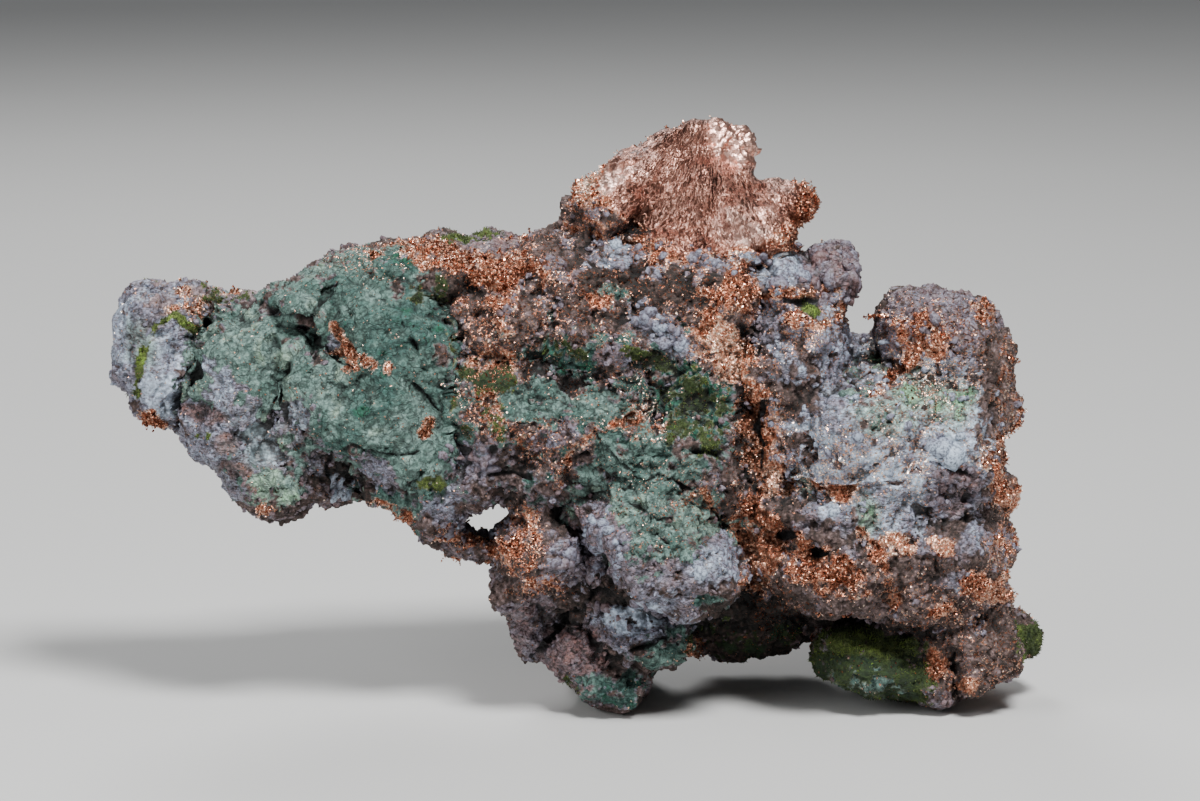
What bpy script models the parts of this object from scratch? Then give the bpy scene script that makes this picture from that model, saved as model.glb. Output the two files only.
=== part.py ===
"""A native copper nugget: copper grown through white quartz and green rock, all one solid.

Run it with: blender --background --python part.py

The nugget is built from stones, which are squared or rounded balls with chiselled faces. They are
joined in one skin, grooves and ridges are carved into it, it is roughened, reduced to flat
facets, and cut flat where it stands. Lengths are in millimetres until the last step. +X runs from
the quartz knob to the square block, +Y points to the back, and +Z is up. The origin is under the
middle of the nugget, on the surface that it stands on.
"""

import math

import bmesh
import bpy
import numpy as np
from mathutils import Euler, Matrix, Vector, noise

MM = 0.001

# Driving dimensions
SKIN_STEP = 0.62  # the size of the cells that join the stones
FACETS = 9400  # triangles in the finished solid, without its soles
SOLE_HEIGHT = 0.7  # the feet are cut flat this far above their lowest point
LUMP_SIZE = 4.5  # broad lumps on every stone
LUMP_RELIEF = 0.9
GRIT_SIZE = 1.7  # angular grit on the lumps
GRIT_RELIEF = 0.45

FRONT = -1
BACK = 1
ROCK_COLOUR = (0.36, 0.29, 0.26, 1.0)
ROCK_ROUGHNESS = 0.6
ROCK_METALLIC = 0.3

# Each group is its squareness, where 2 is a ball and 6 nearly a box, and its stones. A stone is
# its centre (x, y, z), its half sizes (x, y, z) and its turn about Y in degrees.
STONES = {
    "quartz_knob": (2.6, [
        ((-42.7, 2.0, 37.1), (4.3, 6.6, 5.7), 10),
        ((-40.9, 1.0, 32.6), (4.0, 6.3, 5.4), -12),
        ((-38.4, 3.0, 40.0), (3.6, 5.6, 2.5), 12),
        ((-41.0, 5.5, 34.5), (4.4, 4.8, 6.0), 0),
    ]),
    "saddle": (2.5, [
        ((-34.0, 3.0, 39.5), (3.8, 5.0, 2.3), 6),
        ((-36.9, 4.0, 35.4), (2.2, 5.5, 5.6), -8),
        ((-41.4, 5.0, 29.5), (2.0, 3.0, 1.6), 30),
    ]),
    "arm_lobe": (2.8, [
        ((-33.2, -1.0, 33.5), (4.7, 8.8, 6.4), 0),
        ((-34.8, -1.0, 28.2), (4.0, 8.2, 4.0), -35),
        ((-30.7, -1.0, 24.0), (5.0, 8.2, 4.4), 35),
        ((-30.0, -2.0, 37.4), (3.6, 7.6, 2.7), 20),
        ((-26.6, 0.0, 28.5), (5.0, 8.8, 6.6), 0),
        ((-27.0, 0.0, 34.6), (5.6, 9.2, 6.0), 0),
    ]),
    "arm_plates": (4.0, [
        ((-27.6, -1.5, 40.9), (3.8, 8.2, 1.7), 4),
        ((-25.9, 0.0, 43.6), (2.8, 6.0, 0.8), -8),
        ((-18.6, -2.0, 37.6), (6.8, 8.6, 6.0), 0),
        ((-20.0, -2.0, 30.0), (7.2, 9.0, 4.8), -8),
        ((-16.2, -3.0, 25.0), (4.2, 7.4, 5.2), 28),
        ((-13.6, -3.5, 21.6), (2.2, 5.4, 3.6), 12),
        ((-25.1, -2.0, 23.6), (2.0, 5.5, 2.2), 0),
        ((-22.0, 5.0, 28.5), (12.0, 7.0, 8.6), -6),
    ]),
    "top_ridge": (2.6, [
        ((-22.9, 1.0, 44.2), (3.2, 6.0, 2.0), -16),
        ((-18.0, 1.0, 45.2), (4.2, 7.0, 2.0), -5),
        ((-13.4, 1.0, 44.6), (4.4, 9.0, 2.6), 4),
        ((-7.9, 1.0, 44.3), (4.8, 10.0, 2.8), 0),
        ((-8.7, 8.0, 45.2), (3.2, 5.0, 2.1), 0),
        ((-3.4, 0.0, 45.7), (2.6, 8.0, 2.6), -15),
    ]),
    "middle": (3.4, [
        ((-7.0, 0.0, 39.6), (7.4, 9.6, 5.8), 4),
        ((3.0, 0.0, 42.2), (8.0, 9.8, 5.4), -6),
        ((12.0, 0.0, 41.0), (7.0, 10.2, 6.6), 6),
        ((3.4, -0.5, 37.4), (8.0, 10.8, 4.6), 10),
        ((-6.4, 0.0, 34.6), (7.4, 10.0, 5.4), 0),
        ((4.0, 0.0, 33.4), (8.0, 10.9, 5.6), 8),
        ((12.6, 0.0, 33.4), (6.4, 10.6, 6.6), 14),
        ((-6.4, -0.5, 29.6), (6.6, 10.8, 4.6), 0),
        ((2.6, -1.0, 28.0), (8.6, 11.8, 5.4), 6),
        ((11.0, -1.0, 27.2), (6.4, 11.8, 5.6), 12),
        ((4.1, 4.5, 30.5), (16.0, 11.6, 14.0), 0),
        ((-9.9, -2.0, 24.3), (3.6, 7.6, 3.0), 10),
        ((-3.4, -1.6, 24.2), (4.6, 9.4, 3.4), -30),
    ]),
    "neck": (2.2, [
        ((-10.6, -1.0, 16.4), (4.6, 3.5, 1.5), 12),
        ((-14.6, -1.0, 18.0), (2.8, 4.0, 1.4), 16),
    ]),
    "lower_boulders": (2.8, [
        ((-3.2, -4.0, 16.6), (4.7, 8.4, 4.2), -20),
        ((-6.2, -3.0, 13.0), (2.4, 6.4, 2.5), 0),
        ((7.6, -6.5, 17.6), (7.0, 9.6, 5.8), 10),
        ((12.0, -8.0, 14.8), (4.2, 7.4, 4.0), -24),
        ((6.4, -6.0, 21.5), (6.2, 9.0, 3.4), -6),
        ((4.0, 0.0, 14.0), (9.0, 9.0, 5.0), 0),
    ]),
    "left_foot": (2.5, [
        ((-4.6, -2.0, 8.4), (2.3, 4.5, 3.6), -8),
        ((6.3, -5.0, 7.9), (5.2, 6.5, 2.7), 6),
        ((3.2, -2.0, 3.2), (4.8, 8.5, 3.2), 6),
        ((-0.3, -3.0, 5.8), (2.8, 6.0, 3.2), 20),
        ((4.1, 3.0, 9.2), (7.0, 9.5, 6.2), 0),
        ((3.4, 8.0, 4.0), (4.6, 5.0, 4.2), 0),
    ]),
    "copper_crest": (2.6, [
        ((11.1, 1.0, 50.6), (7.6, 5.0, 6.2), 0),
        ((10.4, 2.0, 56.0), (4.4, 3.8, 2.5), 0),
        ((14.5, 2.0, 55.8), (2.8, 4.2, 2.7), 24),
        ((2.8, 0.0, 50.6), (4.2, 5.6, 3.4), -24),
        ((6.8, 1.0, 53.6), (4.4, 4.2, 3.0), -24),
        ((20.4, 0.0, 51.0), (3.3, 4.2, 2.1), 10),
        ((17.1, -1.0, 49.0), (4.8, 6.0, 3.4), 16),
        ((10.1, 0.0, 45.4), (9.6, 8.4, 4.0), 0),
        ((0.2, 1.0, 46.8), (3.4, 6.4, 2.6), 0),
    ]),
    "seam": (3.0, [
        ((17.6, 0.5, 24.0), (3.4, 11.0, 10.0), 0),
        ((16.4, 0.5, 38.0), (3.4, 11.0, 5.8), 0),
        ((17.6, 9.0, 8.4), (8.6, 7.0, 5.6), 0),
        ((17.8, 6.0, 16.0), (8.0, 9.0, 8.0), 0),
    ]),
    "square_block": (3.4, [
        ((25.6, -1.0, 44.0), (2.9, 4.8, 2.8), 0),
        ((20.6, -2.0, 43.4), (3.8, 8.0, 2.4), -6),
        ((22.4, -2.0, 38.6), (4.5, 9.0, 4.0), 0),
        ((21.6, -1.0, 34.6), (5.4, 10.2, 5.4), 0),
        ((37.0, -1.0, 37.3), (5.8, 8.0, 4.7), 8),
        ((33.2, -1.0, 38.6), (2.8, 6.6, 3.4), 0),
        ((39.4, -1.0, 33.8), (4.0, 8.0, 5.6), 8),
        ((28.1, -1.8, 29.0), (8.6, 11.6, 5.6), -4),
        ((35.6, -1.2, 27.0), (6.6, 11.2, 7.2), 5),
        ((27.2, -1.8, 18.0), (8.4, 11.8, 8.0), 4),
        ((35.6, -1.2, 15.6), (7.4, 11.2, 7.4), -4),
        ((31.0, 5.0, 21.5), (12.0, 9.5, 15.0), 0),
    ]),
    "right_edge": (2.3, [
        ((42.2, 0.0, 21.6), (2.2, 3.5, 2.5), 0),
        ((42.9, 0.0, 15.9), (1.8, 3.0, 1.9), 0),
        ((42.0, 0.0, 30.6), (2.2, 5.0, 3.9), -6),
        ((41.6, 0.0, 10.8), (2.4, 5.0, 3.0), 0),
        ((44.9, 3.0, 6.3), (2.5, 4.4, 2.9), -20),
    ]),
    "right_foot": (2.6, [
        ((39.3, -2.0, 6.0), (5.8, 8.0, 4.2), -8),
        ((30.1, 0.0, 4.8), (6.6, 9.0, 3.6), 14),
        ((34.6, -1.0, 3.2), (4.2, 7.6, 3.2), 0),
        ((35.0, 8.0, 4.2), (5.5, 5.5, 4.4), 0),
    ]),
    "back_boulders": (2.8, [
        ((-31.0, 8.0, 31.0), (6.6, 5.2, 6.4), 20),
        ((-19.0, 10.0, 33.0), (7.6, 5.2, 6.6), -10),
        ((-15.0, 9.0, 40.0), (6.0, 5.0, 3.4), 0),
        ((-6.0, 12.5, 32.0), (8.0, 5.6, 8.0), 15),
        ((7.0, 13.5, 37.0), (8.5, 5.2, 7.5), -12),
        ((10.0, 14.0, 24.0), (8.0, 5.2, 8.0), 10),
        ((21.0, 12.5, 31.0), (7.0, 5.2, 7.5), 0),
        ((33.0, 10.5, 30.0), (7.0, 5.2, 6.2), -14),
        ((27.0, 12.0, 17.0), (8.5, 5.2, 7.5), 8),
        ((37.0, 9.5, 14.0), (5.6, 5.0, 7.2), 0),
        ((-1.0, 10.5, 19.0), (6.2, 5.2, 6.2), 0),
        ((10.0, 5.5, 46.0), (8.6, 6.2, 4.0), 6),
    ]),
}

# A groove is the side it is on, its half width, its depth and its line of (x, z) points. A ridge is
# a groove of negative depth.
GROOVES = {
    "knob_from_arm": (FRONT, 1.3, 3.4, [
        (-36.0, 41.6), (-36.7, 38.1), (-37.6, 35.0), (-38.9, 32.5), (-40.2, 29.0)
    ]),
    "under_plate": (FRONT, 1.1, 3.0, [
        (-31.7, 42.0), (-29.4, 40.2), (-26.7, 39.2), (-26.3, 37.9), (-25.7, 37.1), (-23.4, 36.6)
    ]),
    "plate_end": (FRONT, 0.8, 2.2, [(-26.7, 39.6), (-25.4, 42.1)]),
    "lobe_crack": (FRONT, 0.9, 2.4, [(-30.0, 38.6), (-29.6, 36.1), (-29.4, 34.0), (-30.1, 31.8)]),
    "plate_crack": (FRONT, 0.8, 1.6, [(-16.4, 34.0), (-15.0, 32.6), (-13.8, 30.8)]),
    "small_crack": (FRONT, 0.7, 1.2, [(-27.9, 30.6), (-25.9, 28.9)]),
    "arm_hollow": (FRONT, 3.0, 4.0, [(-23.0, 24.2), (-18.5, 23.0)]),
    "arm_edge": (FRONT, 1.4, 0.9, [
        (-12.4, 42.5), (-12.0, 38.5), (-12.2, 34.0), (-13.0, 28.0), (-11.5, 25.0)
    ]),
    "green_gorge": (FRONT, 2.8, 1.5, [
        (-3.4, 37.0), (2.1, 35.2), (7.1, 34.2), (11.1, 32.5), (14.1, 30.0), (15.4, 26.9)
    ]),
    "middle_ledge": (FRONT, 1.4, 1.4, [(-11.4, 37.4), (-7.5, 36.4), (-3.4, 37.0)]),
    "ridge_crevice": (FRONT, 1.2, 1.0, [(-12.0, 43.6), (-8.0, 43.4), (-3.4, 42.8)]),
    "left_gorge": (FRONT, 1.4, 1.4, [(-7.0, 23.5), (-4.5, 26.0), (-3.4, 28.4)]),
    "boulder_gap": (FRONT, 1.3, 4.5, [(-0.8, 20.0), (1.8, 17.6), (3.4, 15.0), (4.4, 12.4)]),
    "hole_shade": (FRONT, 1.6, 3.0, [(-8.6, 21.0), (-6.4, 22.4), (-4.2, 22.4)]),
    "copper_seam": (FRONT, 2.2, 2.2, [
        (18.1, 46.0), (16.9, 39.6), (15.9, 34.5), (17.9, 30.5), (18.3, 25.4), (17.3, 20.3),
        (16.6, 16.3), (17.1, 11.2)
    ]),
    "quartz_step": (FRONT, 0.9, 1.6, [(35.1, 24.6), (37.6, 23.0), (39.8, 23.2)]),
    "toe_crack": (FRONT, 0.9, 2.4, [(37.9, 7.4), (37.9, 2.8)]),
    "block_pit": (FRONT, 1.3, 2.6, [(23.6, 17.9), (23.9, 17.2)]),
    "seam_pit": (FRONT, 1.6, 2.0, [(20.0, 18.4), (21.6, 17.2)]),
    "column_pit": (FRONT, 1.2, 1.6, [(20.6, 39.2), (22.8, 39.0)]),
    "crest_left": (FRONT, 1.2, 1.0, [(10.6, 56.4), (6.6, 51.4), (4.6, 48.4)]),
    "crest_spine": (FRONT, 1.4, -1.2, [(12.4, 55.6), (12.7, 51.2), (13.2, 46.6)]),
    "crest_right": (FRONT, 1.4, 1.2, [(15.2, 55.0), (17.0, 51.2), (20.6, 48.6)]),
    "back_cleft": (BACK, 1.8, 3.4, [(-12.5, 42.0), (-11.8, 35.0), (-12.8, 28.0), (-8.0, 22.0)]),
    "back_seam": (BACK, 1.6, 3.0, [
        (15.6, 46.0), (15.2, 38.0), (16.4, 30.0), (17.8, 22.0), (17.0, 12.0)
    ]),
    "back_ledge": (BACK, 1.4, 2.4, [(-26.0, 36.0), (-25.0, 31.0), (-26.5, 25.0)]),
    "back_shelf": (BACK, 1.5, 2.4, [(0.0, 29.0), (6.0, 30.6), (13.0, 29.6)]),
    "back_block": (BACK, 1.4, 2.4, [(22.0, 24.6), (29.0, 24.0), (37.0, 22.8)]),
}


def clear_scene():
    for old in list(bpy.data.objects):
        bpy.data.objects.remove(old)


def squared(points, squareness):
    """Moves a unit ball's points out towards the corners of its cube."""
    return points / (np.abs(points) ** squareness).sum(axis=1, keepdims=True) ** (1 / squareness)


def chiselled(points, random, faces=14):
    """Cuts a stone's points back to flat faces at random angles, near its surface."""
    for _ in range(faces):
        normal = random.normal(size=3)
        normal /= np.linalg.norm(normal)
        reach = points @ normal
        beyond = np.maximum(reach - reach.max() * random.uniform(0.84, 0.96), 0.0)
        points = points - beyond[:, None] * normal
    return points


def add_stone(stones, squareness, centre, half_sizes, turn, random):
    """Adds one stone to the bmesh."""
    made = bmesh.ops.create_icosphere(stones, subdivisions=3, radius=1.0)["verts"]
    points = chiselled(squared(np.array([v.co for v in made]), squareness), random)
    rotation = np.array(Euler((0.0, math.radians(turn), 0.0)).to_matrix())
    points = (points * half_sizes) @ rotation.T + centre
    for vertex, point in zip(made, points):
        vertex.co = point


def with_modifiers_applied(obj):
    """The object's mesh as its modifiers leave it. The object is removed."""
    graph = bpy.context.evaluated_depsgraph_get()
    mesh = bpy.data.meshes.new_from_object(obj.evaluated_get(graph))
    bpy.data.objects.remove(obj)
    return mesh


def in_scene(name, mesh, collection):
    obj = bpy.data.objects.new(name, mesh)
    collection.objects.link(obj)
    return obj


def joined_skin(random):
    """One closed skin round all the stones, as a mesh."""
    stones = bmesh.new()
    for squareness, group in STONES.values():
        for centre, half_sizes, turn in group:
            add_stone(stones, squareness, centre, half_sizes, turn, random)
    mesh = bpy.data.meshes.new("stones")
    stones.to_mesh(mesh)
    stones.free()
    obj = in_scene("stones", mesh, bpy.context.scene.collection)
    skin = obj.modifiers.new("skin", "REMESH")
    skin.mode = "VOXEL"
    skin.voxel_size = SKIN_STEP
    soften = obj.modifiers.new("soften", "SMOOTH")
    soften.factor = 0.5
    soften.iterations = 2
    return with_modifiers_applied(obj)


def distance_to_line(places, line):
    """Each place's distance to a line of points, in the XZ plane."""
    nearest = np.full(len(places), np.inf)
    for start, end in zip(line, line[1:]):
        start = np.array(start)
        along = np.array(end) - start
        share = np.clip((places - start) @ along / (along @ along), 0.0, 1.0)
        gap = np.linalg.norm(places - start - share[:, None] * along, axis=1)
        nearest = np.minimum(nearest, gap)
    return nearest


def carve(points, normals):
    """Presses each groove into the side it is on, deepest along its line."""
    for side, half_width, depth, line in GROOVES.values():
        gap = distance_to_line(points[:, [0, 2]], line) / half_width
        facing = np.clip(normals[:, 1] * side * 3.0, 0.0, 1.0)
        press = depth * np.clip(1.0 - gap, 0.0, 1.0) ** 0.8 * facing
        points[:, 1] -= side * press
    return points


def roughen(points, normals):
    """Moves each point along its normal by broad lumps and by angular grit."""
    for i, (point, normal) in enumerate(zip(points.copy(), normals)):
        lumps = noise.fractal(Vector(point / LUMP_SIZE), 1.0, 2.0, 3)
        near, second = noise.voronoi(Vector(point / GRIT_SIZE))[0][:2]
        grit = 0.5 - near - 0.35 * (second - near)
        points[i] += normal * (LUMP_RELIEF * lumps + GRIT_RELIEF * grit)
    return points


def reduced(mesh):
    """The skin with FACETS flat triangles, most where it bends most, as a new mesh."""
    mesh.calc_loop_triangles()
    obj = in_scene("skin", mesh, bpy.context.scene.collection)
    facets = obj.modifiers.new("facets", "DECIMATE")
    facets.ratio = FACETS / len(mesh.loop_triangles)
    facets.use_collapse_triangulate = True
    return with_modifiers_applied(obj)


def cut_soles(mesh):
    """Cuts the feet off flat and closes each cut with one face. Returns the height of the cut."""
    floor = min(v.co.z for v in mesh.vertices) + SOLE_HEIGHT
    solid = bmesh.new()
    solid.from_mesh(mesh)
    everything = solid.verts[:] + solid.edges[:] + solid.faces[:]
    bmesh.ops.bisect_plane(solid, geom=everything, dist=1e-5, plane_co=(0.0, 0.0, floor),
                           plane_no=(0.0, 0.0, -1.0), clear_outer=True)
    rims = [e for e in solid.edges if e.is_boundary]
    bmesh.ops.edgeloop_fill(solid, edges=rims)
    bmesh.ops.triangulate(solid, faces=[f for f in solid.faces if len(f.verts) > 3])
    bmesh.ops.recalc_face_normals(solid, faces=solid.faces[:])
    solid.to_mesh(mesh)
    solid.free()
    return floor


def points_of(mesh):
    points = np.empty(len(mesh.vertices) * 3)
    mesh.vertices.foreach_get("co", points)
    return points.reshape(-1, 3)


def reshape(mesh, change):
    """Gives the mesh the points that change makes of its points and normals."""
    normals = np.array([v.normal for v in mesh.vertices])
    mesh.vertices.foreach_set("co", change(points_of(mesh), normals).ravel())
    mesh.update()


def rock():
    """Copper, quartz and green rock seen together as one dull colour."""
    material = bpy.data.materials.new("copper_rock")
    material.use_nodes = True
    shader = material.node_tree.nodes["Principled BSDF"]
    shader.inputs["Base Color"].default_value = ROCK_COLOUR
    shader.inputs["Roughness"].default_value = ROCK_ROUGHNESS
    shader.inputs["Metallic"].default_value = ROCK_METALLIC
    return material


def main():
    clear_scene()
    skin = joined_skin(np.random.RandomState(7))
    reshape(skin, carve)
    reshape(skin, roughen)
    mesh = reduced(skin)
    floor = cut_soles(mesh)
    points = points_of(mesh)
    middle = (points.min(axis=0) + points.max(axis=0)) / 2
    mesh.transform(Matrix.Translation((-middle[0], -middle[1], -floor)))
    mesh.transform(Matrix.Scale(MM, 4))
    mesh.name = "nugget"
    mesh.materials.append(rock())
    home = bpy.data.collections.new("native_copper_nugget")
    bpy.context.scene.collection.children.link(home)
    in_scene("nugget", mesh, home)


main()
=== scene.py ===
"""The finish of a native copper nugget: its skin of copper, quartz, green crust and moss.

Lengths inside the script are in millimetres, and each mesh is scaled to metres when it is made.
+X runs from the quartz knob to the square block, +Y to the back, and +Z up.
"""

import math
from itertools import product

import bmesh
import bpy
import numpy as np
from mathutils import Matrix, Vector


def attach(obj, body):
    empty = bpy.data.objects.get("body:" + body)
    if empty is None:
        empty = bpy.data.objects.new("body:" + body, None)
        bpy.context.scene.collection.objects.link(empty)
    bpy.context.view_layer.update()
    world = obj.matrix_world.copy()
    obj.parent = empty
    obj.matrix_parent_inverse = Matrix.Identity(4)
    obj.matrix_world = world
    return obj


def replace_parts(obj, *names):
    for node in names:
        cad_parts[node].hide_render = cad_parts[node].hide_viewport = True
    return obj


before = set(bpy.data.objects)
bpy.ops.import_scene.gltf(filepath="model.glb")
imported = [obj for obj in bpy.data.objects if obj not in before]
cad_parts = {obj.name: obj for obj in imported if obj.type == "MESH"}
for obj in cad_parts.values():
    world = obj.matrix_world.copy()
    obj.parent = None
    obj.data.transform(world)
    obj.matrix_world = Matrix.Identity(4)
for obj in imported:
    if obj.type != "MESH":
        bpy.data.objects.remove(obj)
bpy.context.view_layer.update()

bl_info = {
    "name": "Native Copper Nugget",
    "version": (1, 0, 0),
    "blender": (4, 5, 0),
    "location": "View3D > Sidebar > Nugget",
    "description": "Builds the skin, grains and moss of a native copper nugget, and its stage",
    "category": "Add Mesh",
}

MM = 0.001

# The front view: an eye in front of the nugget, a little above it, looking at its middle. Places
# on the front are (u, v): millimetres to the right and up, on the upright plane that the eye sees
# through the middle, counted from under the copper crest's left end, at the height of the feet.
EYE_DISTANCE = 500.0
EYE_RISE = math.radians(10.0)
LOOKED_AT = np.array((2.1, -4.0, 31.2))
MIDDLE_SEEN = np.array((2.1, 30.75))
EYE_RIGHT = np.array((1.0, 0.0, 0.0))
EYE_BACK = np.array((0.0, -math.cos(EYE_RISE), math.sin(EYE_RISE)))
EYE_UP = np.array((0.0, math.sin(EYE_RISE), math.cos(EYE_RISE)))

MINERALS = ("matrix", "quartz", "crust", "copper", "moss")
MATRIX, QUARTZ, CRUST, COPPER, MOSS = range(5)

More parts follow.
